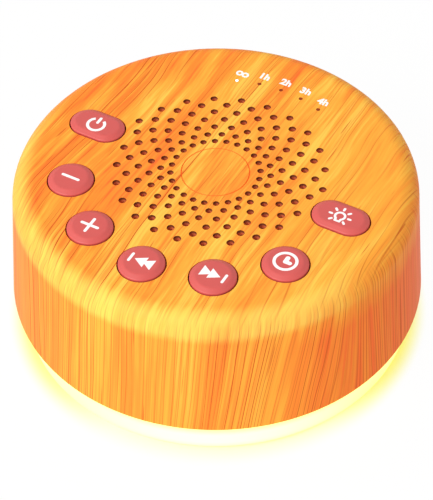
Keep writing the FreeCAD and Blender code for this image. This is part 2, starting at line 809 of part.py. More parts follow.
def speaker_yoke():
    """The back plate and the pole that stands in the voice coil."""
    return turned("speaker_yoke", [
        ("0", YOKE_BOTTOM),
        ("Dims.pole_plate_radius", YOKE_BOTTOM),
        ("Dims.pole_plate_radius", YOKE_TOP),
        ("Dims.pole_radius", YOKE_TOP),
        ("Dims.pole_radius", POLE_TOP),
        ("0", POLE_TOP),
    ])


def voice_coil():
    """The former, open at both ends, with its winding in the magnet's gap."""
    bottom = f"({POLE_TOP} - Dims.coil_drop)"
    return turned("voice_coil", [
        (FORMER_INNER, bottom),
        (WINDING, bottom),
        (WINDING, f"{bottom} + Dims.winding_length"),
        (FORMER_OUTER, f"{bottom} + Dims.winding_length"),
        (FORMER_OUTER, f"{CONE_LAND} + Dims.cone_thickness"),
        (FORMER_INNER, f"{CONE_LAND} + Dims.cone_thickness"),
    ])


def speaker_cone():
    """The paper cone, with a flat land round the former for the dust cap."""
    return turned("speaker_cone", [
        (FORMER_OUTER, CONE_LAND),
        (CONE_LAND_EDGE, CONE_LAND),
        (CONE, CONE_TOP),
        (CONE, f"{CONE_TOP} + Dims.cone_thickness"),
        (CONE_LAND_EDGE, f"{CONE_LAND} + Dims.cone_thickness"),
        (FORMER_OUTER, f"{CONE_LAND} + Dims.cone_thickness"),
    ])


def dust_cap():
    """The dome over the voice coil."""
    bottom = f"({CONE_LAND} + Dims.cone_thickness)"
    top = f"({bottom} + Dims.cap_height)"
    shoulder_height = f"({bottom} + Dims.cap_height / 2)"
    crown_height = f"({top} - Dims.cap_height / 10)"
    shoulder = f"Dims.cap_shoulder_share * {DUST_CAP}"
    crown = f"Dims.cap_crown_share * {DUST_CAP}"
    return turned("dust_cap", [
        (f"{DUST_CAP} - Dims.cap_wall", bottom),
        (DUST_CAP, bottom),
        (shoulder, shoulder_height),
        (crown, crown_height),
        ("0", top),
        ("0", f"{top} - Dims.cap_wall"),
        (crown, f"{crown_height} - Dims.cap_wall"),
        (f"{shoulder} - Dims.cap_wall", shoulder_height),
    ])


def speaker_surround():
    """The soft roll between the cone and the rim."""
    cone_top = f"({CONE_TOP} + Dims.cone_thickness)"
    return turned("speaker_surround", [
        (f"{CONE} - Dims.surround_lip", cone_top),
        (CONE, cone_top),
        (f"({CONE} + {RIM_INNER}) / 2", f"{RIM_TOP} + Dims.surround_rise"),
        (RIM_INNER, RIM_TOP),
        (f"{RIM_INNER} + Dims.surround_lip", RIM_TOP),
        (f"{RIM_INNER} + Dims.surround_lip", f"{RIM_TOP} + Dims.surround_thickness"),
        (RIM_INNER, f"{RIM_TOP} + Dims.surround_thickness"),
        (f"({CONE} + {RIM_INNER}) / 2",
         f"{RIM_TOP} + Dims.surround_rise + Dims.surround_thickness"),
        (CONE, f"{cone_top} + Dims.surround_thickness"),
        (f"{CONE} - Dims.surround_lip", f"{cone_top} + Dims.surround_thickness"),
    ])


def speaker():
    """The loudspeaker that faces up under the grille."""
    spider_top = f"{SHELF} + Dims.spider_thickness"
    washers = []
    for index, (across, along) in enumerate(clamp_places(), start=1):
        seat = f"({RIM_BOTTOM} - Dims.washer_thickness)"
        disc = cylinder(f"washer_{index}_disc", across, along, seat, "Dims.washer_radius",
                        "Dims.washer_thickness")
        hole = cylinder(f"washer_{index}_hole", across, along, seat,
                        "Dims.small_screw_radius + Dims.pilot_clearance", "Dims.washer_thickness")
        washers.append(cut_from(f"washer_{index}", disc, hole))
    terminal_middle = ("Dims.shelf_radius + Dims.basket_wall + Dims.terminal_gap + Dims.terminal_length / 2")
    terminals = block("speaker_terminals", terminal_middle, "0", POLE_TOP, "Dims.terminal_length",
                      "Dims.terminal_width", "Dims.terminal_thickness")
    return [
        turned("grille_cloth", [("0", GASKET_TOP), (SPEAKER, GASKET_TOP),
                                (SPEAKER, UNDERSIDE), ("0", UNDERSIDE)]),
        ring("speaker_gasket", f"{SPEAKER} - Dims.gasket_width", SPEAKER, RIM_TOP, GASKET_TOP),
        speaker_frame(),
        ring("speaker_pole_plate", POLE_PLATE_BORE, "Dims.pole_plate_radius", MAGNET_TOP, POLE_TOP),
        ring("speaker_magnet", MAGNET_BORE, "Dims.pole_plate_radius + Dims.magnet_overhang", YOKE_TOP,
             MAGNET_TOP),
        speaker_yoke(),
        voice_coil(),
        speaker_cone(),
        dust_cap(),
        speaker_surround(),
        ring("speaker_spider", FORMER_OUTER, "Dims.shelf_radius", SHELF, spider_top),
        terminals,
        group("speaker_washers", washers),
        screws("speaker_screws", clamp_places(), f"({RIM_BOTTOM} - Dims.washer_thickness)", True,
               "Dims.small_head_radius", "Dims.small_head_height", "Dims.small_screw_radius",
               f"({UNDERSIDE} - {RIM_BOTTOM} + Dims.washer_thickness - Dims.screw_end_gap)"),
    ]


def ring_board(label, inner, outer, bottom, thickness, posts):
    """A ring-shaped board, notched round the housing bosses and drilled at its posts."""
    top = f"({bottom} + {thickness})"
    body = ring(label, inner, outer, bottom, top)
    cut_round_holes(body, f"{label}_notches", boss_places(), "Dims.boss_radius + Dims.board_clearance", top,
                    thickness)
    body.Tip = cut_round_holes(body, f"{label}_holes", posts,
                               "Dims.small_screw_radius + Dims.screw_clearance", top, thickness)
    return body


def round_button(label, at):
    """A round key cap on its collar."""
    collar = "(Dims.button_radius + Dims.button_gap + Dims.collar_overlap)"
    cap_top = f"({TOP} + Dims.button_rise)"
    body = turned(label, [
        ("0", COLLAR_BOTTOM),
        (collar, COLLAR_BOTTOM),
        (collar, COLLAR_TOP),
        ("Dims.button_radius", COLLAR_TOP),
        ("Dims.button_radius", cap_top),
        ("0", cap_top),
    ])
    place(body, at[0], at[1], "0")
    return body


def oblong_button(label, at):
    """An oblong key cap on its collar."""
    body = new_body(label)
    collar = sketch_on(body, "XY_Plane", f"{label}_collar_section", COLLAR_BOTTOM)
    margin = "Dims.button_gap + Dims.collar_overlap"
    add_slot(collar, "0", "0", f"(Dims.oblong_half_length + {margin})",
             f"(Dims.oblong_half_width + {margin})")
    pad(body, collar, f"{label}_collar", "Dims.collar_thickness")
    cap = sketch_on(body, "XY_Plane", f"{label}_cap_section", COLLAR_TOP)
    add_slot(cap, "0", "0", "Dims.oblong_half_length", "Dims.oblong_half_width")
    body.Tip = pad(body, cap, f"{label}_cap", f"{TOP} + Dims.button_rise - {COLLAR_TOP}")
    place(body, at[0], at[1], "0")
    return body


def keys():
    """Each key: its cap, its switch and the plunger between them."""
    places = {name: round_button_place(index) for index, name in enumerate(ROUND_BUTTONS)}
    places.update({name: oblong_button_place(name) for name in OBLONG_BUTTONS})
    made = []
    switch_bodies = []
    cap_top = size("foot_drop") + size("base_height") + size("housing_height") + size("button_rise")
    for name, at in places.items():
        make_cap = oblong_button if name in OBLONG_BUTTONS else round_button
        cap = make_cap(f"{name}_button", at)
        doc.recompute()
        top_edges = level_edge_names(cap.Tip.Shape, cap_top)
        bevel(cap, top_edges, f"{name}_shoulder", "Dims.shoulder_drop", "Dims.shoulder_width")
        doc.recompute()
        outer_edges = level_edge_names(cap.Tip.Shape, cap_top - size("shoulder_drop"))
        round_over(cap, outer_edges, f"{name}_edge_rounding", "Dims.button_edge_rounding")
        doc.recompute()
        inner_edges = level_edge_names(cap.Tip.Shape, cap_top)
        round_over(cap, inner_edges, f"{name}_rounding", "Dims.button_rounding")
        plunger_bottom = f"({COLLAR_BOTTOM} - Dims.plunger_length)"
        plunger = cylinder(f"{name}_plunger", at[0], at[1], plunger_bottom, "Dims.plunger_radius",
                           "Dims.plunger_length")
        case = block(f"{name}_switch_case", at[0], at[1], KEY_BOARD_TOP, "Dims.switch_width",
                     "Dims.switch_width", "Dims.switch_height")
        well_bottom = f"({plunger_bottom} - Dims.plunger_travel_room)"
        well = cylinder(f"{name}_switch_well", at[0], at[1], well_bottom,
                        "Dims.plunger_radius + Dims.plunger_clearance", f"{SWITCH_TOP} - {well_bottom}")
        switch_bodies.append(cut_from(f"{name}_switch", case, well))
        made += [cap, plunger]
    return made + [group("push_switches", switch_bodies)]


def timer_lights():
    """The five indicator LEDs and the clear guide that carries their light up to the top."""
    leds = []
    pins = []
    rail_bottom = f"({KEY_BOARD_TOP} + Dims.guide_leg_height)"
    rail_top = f"({rail_bottom} + Dims.guide_rail_thickness)"
    pin_radius = "Dims.light_hole_radius - Dims.guide_clearance"
    for index, (across, along) in enumerate(light_places(), start=1):
        leds.append(block(f"timer_led_{index}", across, along, KEY_BOARD_TOP, "Dims.led_length",
                          "Dims.led_width", "Dims.led_height"))
        pins.append(cylinder(f"guide_pin_{index}", across, along, rail_top, pin_radius,
                             f"{TOP} - Dims.guide_clearance - {rail_top}"))
    side = f"{LIGHT_CIRCLE} * sin(2 * Dims.light_step_angle)"
    near = f"{LIGHT_CIRCLE} * cos(2 * Dims.light_step_angle)"
    length = f"(2 * ({side} + Dims.guide_rail_margin + Dims.led_length))"
    width = f"({LIGHT_CIRCLE} - {near} + Dims.guide_rail_margin)"
    middle = f"({LIGHT_CIRCLE} + {near}) / 2"
    rail = block("guide_rail", "0", middle, rail_bottom, length, width, "Dims.guide_rail_thickness")
    legs = []
    for side_name, sign in (("left", "-1"), ("right", "1")):
        across = f"{sign} * ({length} - Dims.guide_leg_width) / 2"
        legs.append(block(f"guide_leg_{side_name}", across, middle, KEY_BOARD_TOP, "Dims.guide_leg_width",
                          width, "Dims.guide_leg_height"))
    guide = joined("timer_light_guide", [rail] + legs + pins)
    return [group("timer_leds", leds), guide]


def main_board():
    """The board over the base, with a tongue at the back that carries the power socket."""
    body = turned("main_board", [
        ("0", MAIN_BOARD_BOTTOM),
        (MAIN_BOARD, MAIN_BOARD_BOTTOM),
        (MAIN_BOARD, MAIN_BOARD_TOP),
        ("0", MAIN_BOARD_TOP),
    ])
    tongue = sketch_on(body, "XY_Plane", "board_tongue_section", MAIN_BOARD_BOTTOM)
    reach = f"({HOUSING_INNER} - Dims.tongue_clearance)"
    add_outline(tongue, [
        ("-Dims.tongue_half_width", "0"),
        ("Dims.tongue_half_width", "0"),
        ("Dims.tongue_half_width", reach),
        ("-Dims.tongue_half_width", reach),
    ])
    pad(body, tongue, "board_tongue", "Dims.board_thickness")
    body.Tip = cut_round_holes(body, "main_board_holes", quarter_places(MAIN_POST_CIRCLE, 45),
                               "Dims.small_screw_radius + Dims.screw_clearance", MAIN_BOARD_TOP,
                               "Dims.board_thickness")
    return body


def board_parts():
    """What stands on the main board."""
    side = f"(Dims.chip_share * {MAIN_BOARD})"
    return [
        block("sound_chip", f"-{side}", f"-{side}", MAIN_BOARD_TOP, "Dims.chip_length", "Dims.chip_width",
              "Dims.chip_height"),
        block("amplifier_chip", side, f"-{side}", MAIN_BOARD_TOP, "Dims.amplifier_length", "Dims.chip_width",
              "Dims.chip_height"),
        cylinder("capacitor", f"-Dims.capacitor_share * {MAIN_BOARD}", side, MAIN_BOARD_TOP,
                 "Dims.capacitor_radius", "Dims.capacitor_height"),
    ]


def power_socket():
    """The socket's oval metal shell, lying on the board's tongue, and the tongue inside it."""
    middle = f"({MAIN_BOARD_TOP} + Dims.socket_half_height)"
    body = new_body("power_socket")
    outer = sketch_on(body, "XZ_Plane", "socket_shell_section", f"-{SOCKET_FRONT}")
    add_slot(outer, "0", middle, "Dims.socket_half_width", "Dims.socket_half_height")
    pad(body, outer, "socket_shell", "Dims.socket_depth")
    inner = sketch_on(body, "XZ_Plane", "socket_mouth_section",
                      f"-{SOCKET_FRONT} + Dims.socket_depth - Dims.socket_back_wall")
    add_slot(inner, "0", middle, "(Dims.socket_half_width - Dims.socket_wall)",
             "(Dims.socket_half_height - Dims.socket_wall)")
    body.Tip = pocket(body, inner, "socket_mouth", "Dims.socket_depth - Dims.socket_back_wall")
    back = f"({SOCKET_FRONT} - Dims.socket_depth + Dims.socket_back_wall)"
    insert = block("socket_tongue", "0", f"{back} + Dims.insert_length / 2",
                   f"{middle} - Dims.insert_thickness / 2", "Dims.insert_width", "Dims.insert_length",
                   "Dims.insert_thickness")
    return [body, insert]


def night_leds():
    """The night-light LEDs round the light board's edge."""
    body = new_body("night_leds")
    body.AllowCompound = True
    sketch = sketch_on(body, "XY_Plane", "night_led_section", LIGHT_BOARD_TOP)
    half = "Dims.night_led_width / 2"
    add_outline(sketch, [
        (f"{NIGHT_LED_CIRCLE} - {half}", f"-{half}"),
        (f"{NIGHT_LED_CIRCLE} + {half}", f"-{half}"),
        (f"{NIGHT_LED_CIRCLE} + {half}", half),
        (f"{NIGHT_LED_CIRCLE} - {half}", half),
    ])
    first = pad(body, sketch, "night_led_first", "Dims.night_led_height")
    around(body, first, "night_led_ring", "Dims.night_led_count")
    return body


def smooth_path(points):
    """Straight runs through the points, joined by tangent arcs as large as the runs allow."""
    edges = []
    last = points[0]
    for before, corner, after in zip(points, points[1:], points[2:]):
        inwards = (before - corner).normalize()
        outwards = (after - corner).normalize()
        shorter = min((before - corner).Length, (after - corner).Length)
        cut = size("bend_share") * shorter
        half_turn = inwards.getAngle(outwards) / 2
        start = corner + inwards * cut
        end = corner + outwards * cut
        middle_line = (inwards + outwards).normalize()
        radius = cut * math.tan(half_turn)
        middle = corner + middle_line * (cut / math.cos(half_turn) - radius)
        edges.append(Part.LineSegment(last, start).toShape())
        edges.append(Part.Arc(start, middle, end).toShape())
        last = end
    edges.append(Part.LineSegment(last, points[-1]).toShape())
    return Part.Wire(edges)


def swept(points, section):
    """A section drawn along a smooth path that starts straight down."""
    section.translate(points[0])
    return smooth_path(points).makePipeShell([section], True, False)


def round_section(radius):
    """A wire's section, square to +Z."""
    return Part.Wire(Part.makeCircle(radius))


def wires():
    """The wires and the flat cable between the boards and the speaker."""
    key_board_bottom = key_board_object.Shape.BoundBox.ZMin
    main_top = main_board_object.Shape.BoundBox.ZMax
    main_bottom = main_board_object.Shape.BoundBox.ZMin
    light_top = light_board_object.Shape.BoundBox.ZMax
    terminal = doc.getObject("speaker_terminals").Shape.BoundBox

    def sloping(radius, step, top, bottom, side):
        """Four points on the way down, with a step outwards between them."""
        fall = top - bottom
        return [
            FreeCAD.Vector(radius, side, top),
            FreeCAD.Vector(radius, side, top - size("wire_drop_share") * fall),
            FreeCAD.Vector(radius + step, side, bottom + size("wire_end_share") * fall),
            FreeCAD.Vector(radius + step, side, bottom),
        ]

    half_spacing = size("wire_spacing") / 2
    main_radius = -main_board_object.Shape.BoundBox.YMin
    inset = size("wire_radius") + size("wire_inset")
    terminal_end = terminal.XMax - inset
    light_start = main_radius - inset
    speaker_pair = []
    light_pair = []
    for side in (-half_spacing, half_spacing):
        route = sloping(terminal_end, size("speaker_wire_step"), terminal.ZMin, main_top, side)
        speaker_pair.append(swept(route, round_section(size("wire_radius"))))
        route = sloping(light_start, size("light_wire_step"), main_bottom, light_top, side)
        light_pair.append(swept(route, round_section(size("wire_radius"))))

    half_width = size("cable_width") / 2
    half_thickness = size("cable_thickness") / 2
    corners = [
        FreeCAD.Vector(-half_thickness, -half_width, 0),
        FreeCAD.Vector(half_thickness, -half_width, 0),
        FreeCAD.Vector(half_thickness, half_width, 0),
        FreeCAD.Vector(-half_thickness, half_width, 0),
    ]
    flat_section = Part.makePolygon(corners + corners[:1])
    cable_start = key_board_object.Shape.BoundBox.XMax - size("key_board_width") / 2
    cable = swept(sloping(cable_start, size("cable_step"), key_board_bottom, main_top, 0), flat_section)

    made = []
    for label, shape, angle in (
        ("speaker_wires", Part.Compound(speaker_pair), 0),
        ("light_wires", Part.Compound(light_pair), size("light_wire_angle")),
        ("key_cable", cable, size("cable_angle")),
    ):
        item = doc.addObject("Part::Feature", label)
        item.Label = label
        item.Shape = shape
        turn = FreeCAD.Rotation(FreeCAD.Vector(0, 0, 1), angle)
        item.Placement = FreeCAD.Placement(FreeCAD.Vector(), turn)
        made.append(item)
    return made


light_post_places = quarter_places(LIGHT_POST_CIRCLE, 0)
key_board_object = ring_board("key_board", KEY_BOARD_INNER, KEY_BOARD, KEY_BOARD_BOTTOM,
                              "Dims.board_thickness", key_post_places())
light_board_object = ring_board("light_board", LIGHT_BOARD_INNER, LIGHT_BOARD, LIGHT_BOARD_BOTTOM,
                                "Dims.light_board_thickness", light_post_places)
main_board_object = main_board()

pieces = [top_housing(), light_diffuser(), base_plate(), housing_screws()]
pieces += rubber_feet()
pieces += speaker()
pieces += [key_board_object, main_board_object, light_board_object]
pieces += keys()
pieces += timer_lights()
pieces += board_parts()
pieces += power_socket()
pieces += [
    night_leds(),
    screws("key_board_screws", key_post_places(), KEY_BOARD_BOTTOM, True, "Dims.small_head_radius",
           "Dims.small_head_height", "Dims.small_screw_radius", "Dims.key_screw_length"),
    screws("main_board_screws", quarter_places(MAIN_POST_CIRCLE, 45), MAIN_BOARD_TOP, False,
           "Dims.small_head_radius", "Dims.small_head_height", "Dims.small_screw_radius",
           "Dims.main_screw_length"),
    screws("light_board_screws", light_post_places, LIGHT_BOARD_TOP, False, "Dims.small_head_radius",
           "Dims.small_head_height", "Dims.small_screw_radius",
           "(Dims.light_board_thickness + Dims.light_board_lift - Dims.screw_end_gap)"),
]
doc.recompute()
pieces += wires()
doc.recompute()

for item in doc.Objects:
    if "Invalid" in item.State or "Error" in item.State:
        raise RuntimeError(f"{item.Name} failed: {item.State}")
for piece in pieces:
    if piece.Shape.isNull() or not piece.Shape.isValid():
        raise RuntimeError(f"{piece.Label} has no valid shape")

os.makedirs("parts", exist_ok=True)
for piece in pieces:
    piece.Shape.exportStep(f"parts/{piece.Label}.step")
    print(f"{piece.Label}: {len(piece.Shape.Solids)} solids, {piece.Shape.Volume:.2f} mm3")
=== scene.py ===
import math

import bmesh
import bpy
from bpy.props import FloatProperty, FloatVectorProperty, PointerProperty
from mathutils import Matrix, Vector


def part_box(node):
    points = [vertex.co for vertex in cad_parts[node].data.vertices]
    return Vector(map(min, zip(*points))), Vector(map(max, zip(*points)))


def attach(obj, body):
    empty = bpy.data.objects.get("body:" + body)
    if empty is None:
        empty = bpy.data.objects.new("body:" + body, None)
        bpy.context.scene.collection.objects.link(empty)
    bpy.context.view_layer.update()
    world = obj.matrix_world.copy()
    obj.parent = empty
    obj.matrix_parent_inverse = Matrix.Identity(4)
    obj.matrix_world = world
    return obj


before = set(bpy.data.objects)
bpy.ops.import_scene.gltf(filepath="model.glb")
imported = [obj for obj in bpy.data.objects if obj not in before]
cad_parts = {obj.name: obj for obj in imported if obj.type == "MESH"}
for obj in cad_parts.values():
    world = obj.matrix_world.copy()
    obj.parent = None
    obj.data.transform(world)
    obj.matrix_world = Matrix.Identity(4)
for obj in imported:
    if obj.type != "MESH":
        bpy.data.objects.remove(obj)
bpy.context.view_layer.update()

bl_info = {
    "name": "White noise sound machine",
    "version": (1, 0),
    "blender": (4, 5, 0),
    "location": "View3D > Sidebar > Sound machine",
    "description": "Finishes, key signs, timer marks and a small studio for the sound machine",
    "category": "Object",
}

MM = 0.001
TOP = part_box("top_housing")[1].z
KEYS = ("volume_down", "volume_up", "previous", "next", "timer", "power", "light")
WHITE = (1.0, 1.0, 1.0)

# Noise of the grain: cycles per millimetre across and along it, seed, detail, roughness
GRAIN_FIELDS = {
    "wave": (0.022, 0.014, 3.1, 1.0, 0.5),
    "ripple": (0.09, 0.05, 8.7, 1.0, 0.5),
    "broad_band": (0.06, 0.02, 1.3, 3.0, 0.55),
    "middle_band": (0.32, 0.03, 4.9, 3.0, 0.6),
    "narrow_band": (1.5, 0.05, 6.2, 3.0, 0.65),
    "main_hills": (0.05, 0.011, 12.5, 1.0, 0.5),
    "fine_hills": (0.08, 0.011, 17.9, 1.0, 0.5),
    "main_strength": (0.11, 0.022, 23.4, 1.5, 0.5),
    "fine_strength": (0.16, 0.03, 29.8, 1.5, 0.5),
    "dash": (1.7, 0.09, 35.0, 0.0, 0.5),
    "fibre": (5.0, 0.12, 41.0, 2.0, 0.5),
}
WAVE_REACH = 11.0
RIPPLE_REACH = 1.8
SWELL_PITCH = 20.4
SWELL_PHASE = 1.9
SWELL_SLOPE = 0.02
SWELL_WEIGHT = -0.028
WIDE_BAND_WEIGHT = 0.40
NARROW_BAND_WEIGHT = 0.36
BAND_OFFSET = 0.08
PALE_TO_GOLDEN = (0.37, 0.47)
GOLDEN_TO_ORANGE = (0.46, 0.56)
ORANGE_TO_STREAK = (0.56, 0.66)
MAIN_LINE_WIDTH = 0.08
MAIN_LINE_BEND = 5.0
FINE_LINE_WIDTH = 0.16
FINE_LINE_BEND = 4.0
FINE_PITCH_SHARE = 0.42

# Layout of the print, with its painted edge highlight and painted shade: radii and depths below the top in
# millimetres, turns round the side in radians;
# a shift moves the bands towards pale below zero and towards red above it
EDGE_RADIUS = 47.6
GRAIN_FALL = -0.35
TOP_TO_EDGE = (42.0, 46.0)
EDGE_TO_SIDE = (3.8, 7.0)
SIDE_GRAIN = (45.5, 52.0)
# Painted highlight on the rounded edge: how far towards the front it reaches, how far it shifts the bands
# to pale, and how much it tints towards its colour
PAINTED_HIGHLIGHT_REACH = (-2.0, 22.0)
PAINTED_HIGHLIGHT_SHIFT = -0.08
PAINTED_HIGHLIGHT_TINT = 0.26
HEART_AT = -0.8
HEART_WIDTH = (0.4, 3.2)
HEART_ENDS = (-12.0, 14.0)
HEART_SHIFT = 0.10
CALM_RIGHT = (12.0, 28.0)
CALM_CONTRAST = 0.6
CALM_SHIFT = -0.015
SIDE_CONTRAST = 0.6
SIDE_LINE_FLOOR = 0.6
SIDE_PITCH_SHARE = 0.8
LEAN_STARTS = (0.1, 0.75)
LEAN_ENDS = (0.95, 1.4)
LEAN = 0.18
# Painted shade: redder bands on the right of the side wall, which faces away from the key light, stronger
# lower down
SHADED_RIGHT_TURNS = (0.7, 1.15)
SHADED_RIGHT_SHIFT = 0.16
SHADED_RIGHT_DEPTH = (5.0, 13.0)
RED_LEFT = (0.1, -0.6)
RED_LEFT_SHIFT = 0.045
RED_FAR_LEFT = (-1.1, -1.5)
RED_FAR_LEFT_SHIFT = 0.05
OPENINGS_RADIUS = 41.6
GRILLE_RADIUS = 27.0
GROOVE_RADIUS = 8.0
GROOVE_REACH = 0.4
GROOVE_FLOOR = 0.3

# Signs and marks, in millimetres
SIGN_SETBACKS = {"power": 0.45, "light": 0.3}
TIMER_LIGHT_RADIUS = 32.65
TIMER_LIGHT_STEP = 10
LETTER_BOLDNESS = 0.12
LENS_RADIUS = 0.38
LENS_FLATNESS = 0.35

# Studio: the glow's radii and the camera's place in millimetres, the rest in metres
HALO_RADII = (47.4, 52.5)
WHITE_RADII = (44.0, 52.5)
WHITE_SHARE = 0.96
FLOOR_RADIUS = 4.0
KEY_LIGHT_AT = (-0.25, -0.85, 0.82)
SIDE_LIGHT_AT = (-0.79, -0.35, 0.5)
LIGHTS_AIM = (0.0, 0.0, 0.03)
CAMERA_AT = (160.83, -279.46, 354.06)
CAMERA_FORWARD = (-0.3455, 0.6000, -0.7216)
CAMERA_UP = (-0.3451, 0.6338, 0.6923)


def tone(red, green, blue):
    """A colour written as 0 to 255 values, as Blender's linear colour."""
    linear = []
    for value in (red, green, blue):
        share = value / 255
        linear.append(share / 12.92 if share <= 0.04045 else ((share + 0.055) / 1.055) ** 2.4)
    return tuple(linear)


# Properties

def colour_property(name, description, default):
    """A colour setting."""
    return FloatVectorProperty(name=name, description=description, default=default, size=3,
                               subtype="COLOR", min=0.0, max=1.0)


class WoodSettings(bpy.types.PropertyGroup):
    """The printed wood of the housing."""
    pale: colour_property("Pale band", "Palest bands of the grain", tone(255, 202, 84))
    golden: colour_property("Golden band", "Most of the surface", tone(255, 174, 64))
    orange: colour_property("Orange band", "Darker, redder bands", tone(253, 146, 54))
    streak: colour_property("Streak", "The reddest streaks", tone(250, 114, 50))
    line: colour_property("Grain line", "Thin dark lines along the grain", tone(206, 80, 32))
    # Colour of the painted highlight on the rounded edge towards the front
    crest: colour_property("Edge", "Where the print is stretched thin over the edge", tone(255, 222, 112))
    bore: colour_property("Hole wall", "Walls of the grille holes and openings", tone(214, 112, 74))
    line_pitch: FloatProperty(name="Line pitch", description="Mean distance between two grain lines",
                              default=2.4 * MM, min=0.5 * MM, max=10 * MM, unit="LENGTH")


class KeySettings(bpy.types.PropertyGroup):
    """The seven key caps and their signs."""
    cap: colour_property("Key cap", "Soft-touch plastic of the key caps", tone(207, 84, 79))
    sign: colour_property("Sign", "Print of the signs and the timer marks", tone(252, 250, 248))
    stroke: FloatProperty(name="Stroke", description="Width of a sign's strokes", default=0.72 * MM,
                          min=0.2 * MM, max=1.5 * MM, unit="LENGTH")
    print_height: FloatProperty(name="Print height", description="How far a sign stands above its surface",
                                default=0.03 * MM, min=0.01 * MM, max=0.2 * MM, unit="LENGTH")


class TimerSettings(bpy.types.PropertyGroup):
    """The marks at the timer lights."""
    letter_size: FloatProperty(name="Letter size", description="Font size of the hour marks",
                               default=2.85 * MM, min=1 * MM, max=6 * MM, unit="LENGTH")
    mark_offset: FloatProperty(name="Mark offset", description="From a light to the middle of its mark",
                               default=2.9 * MM, min=1 * MM, max=8 * MM, unit="LENGTH")
    lit: colour_property("Lit light", "Colour of the light that is on", tone(255, 252, 240))


class BaseSettings(bpy.types.PropertyGroup):
    """The lit base."""
    diffuser: colour_property("Diffuser", "The diffuser's own plastic", tone(240, 237, 170))
    glow: colour_property("Glow", "Colour of the night light at the diffuser's rims", tone(255, 246, 120))
    glow_middle: colour_property("Glow in the middle", "Colour of the night light between the rims",
                                 tone(255, 255, 243))
    glow_strength: FloatProperty(name="Glow strength", description="How brightly the diffuser shines",
                                 default=0.72, min=0.0, max=10.0)


class StudioSettings(bpy.types.PropertyGroup):
    """Floor, lights and camera."""
    floor: colour_property("Floor", "The pale floor", tone(250, 250, 248))
    # The halo colours are the night light's glow painted into the floor
    halo: colour_property("Halo", "The glow on the floor before and behind the foot", tone(255, 255, 230))
    side_halo: colour_property("Side halo", "The glow on the floor to the left and right",
                               tone(255, 252, 158))
    world_strength: FloatProperty(name="Sky strength", description="Even light from all round",
                                  default=0.62, min=0.0, max=3.0)
    key_power: FloatProperty(name="Key light power", description="Power of the large front light",
                             default=9.7, min=0.0, max=100.0)
    side_power: FloatProperty(name="Side light power", description="Power of the small light from the left",
                              default=1.1, min=0.0, max=100.0)
    lens: FloatProperty(name="Lens", description="Focal length on a 36 mm sensor", default=137.79,
                        min=20.0, max=300.0)


# Node helpers

def add_node(tree, kind, inputs=None, **settings):
    """A node with its settings, and with its inputs as values or as links."""
    made = tree.nodes.new(kind)
    for name, value in settings.items():
        setattr(made, name, value)
    for name, value in (inputs or {}).items():
        if isinstance(value, bpy.types.NodeSocket):
            tree.links.new(value, made.inputs[name])
        else:
            made.inputs[name].default_value = value
    return made


def calc(tree, operation, first, second=0.0, third=0.0, clamp=False):
    """One sum on values or links."""
    inputs = {0: first, 1: second, 2: third}
    return add_node(tree, "ShaderNodeMath", inputs, operation=operation, use_clamp=clamp).outputs[0]


def between(tree, share, first, second):
    """A value between two others."""
    return add_node(tree, "ShaderNodeMix", {0: share, 2: first, 3: second}, data_type="FLOAT").outputs[0]


def opaque(color):
    """A plain colour with its alpha; a link stays as it is."""
    return color if isinstance(color, bpy.types.NodeSocket) else (*color, 1.0)


def tint(tree, share, first, second, way="MIX"):
    """A colour between two others."""
    inputs = {0: share, 6: opaque(first), 7: opaque(second)}
    return add_node(tree, "ShaderNodeMix", inputs, data_type="RGBA", blend_type=way).outputs[2]


def rises(tree, value, low, high, bottom=0.0, top=1.0):
    """A smooth step from one value to another."""
    inputs = {"Value": value, "From Min": low, "From Max": high, "To Min": bottom, "To Max": top}
    return add_node(tree, "ShaderNodeMapRange", inputs, interpolation_type="SMOOTHSTEP").outputs[0]


def vector(tree, across, along, up=0.0):
    """A vector of three values or links."""
    return add_node(tree, "ShaderNodeCombineXYZ", {0: across, 1: along, 2: up}).outputs[0]


def darkened(tree, color, value):
    """A colour times a value."""
    grey = add_node(tree, "ShaderNodeCombineXYZ", {0: value, 1: value, 2: value}).outputs[0]
    return tint(tree, 1.0, color, grey, "MULTIPLY")


def cloud(tree, at, scale=1.0, detail=2.0, roughness=0.5, distortion=0.0):
    """Soft noise at a place."""
    inputs = {"Vector": at, "Scale": scale, "Detail": detail, "Roughness": roughness,
              "Distortion": distortion}
    return add_node(tree, "ShaderNodeTexNoise", inputs).outputs[0]


def millimetres(tree):
    """The object's own coordinates, in millimetres."""
    place = add_node(tree, "ShaderNodeTexCoord").outputs["Object"]
    return add_node(tree, "ShaderNodeVectorMath", {0: place, "Scale": 1 / MM}, operation="SCALE").outputs[0]


def parts_of(tree, place):
    """The three parts of a vector."""
    made = add_node(tree, "ShaderNodeSeparateXYZ", {0: place})
    return made.outputs[0], made.outputs[1], made.outputs[2]


def distance_from_axis(tree, across, along):
    """How far a point is from the upright axis."""
    flat = vector(tree, across, along)
    return add_node(tree, "ShaderNodeVectorMath", {0: flat}, operation="LENGTH").outputs["Value"]


def seen_directly(tree):
    """1 for what the camera, a reflection or a clear piece shows, 0 for what only gives light."""
    rays = add_node(tree, "ShaderNodeLightPath").outputs
    mirrored = calc(tree, "MAXIMUM", rays["Is Glossy Ray"], rays["Is Transmission Ray"])
    return calc(tree, "MAXIMUM", rays["Is Camera Ray"], mirrored)


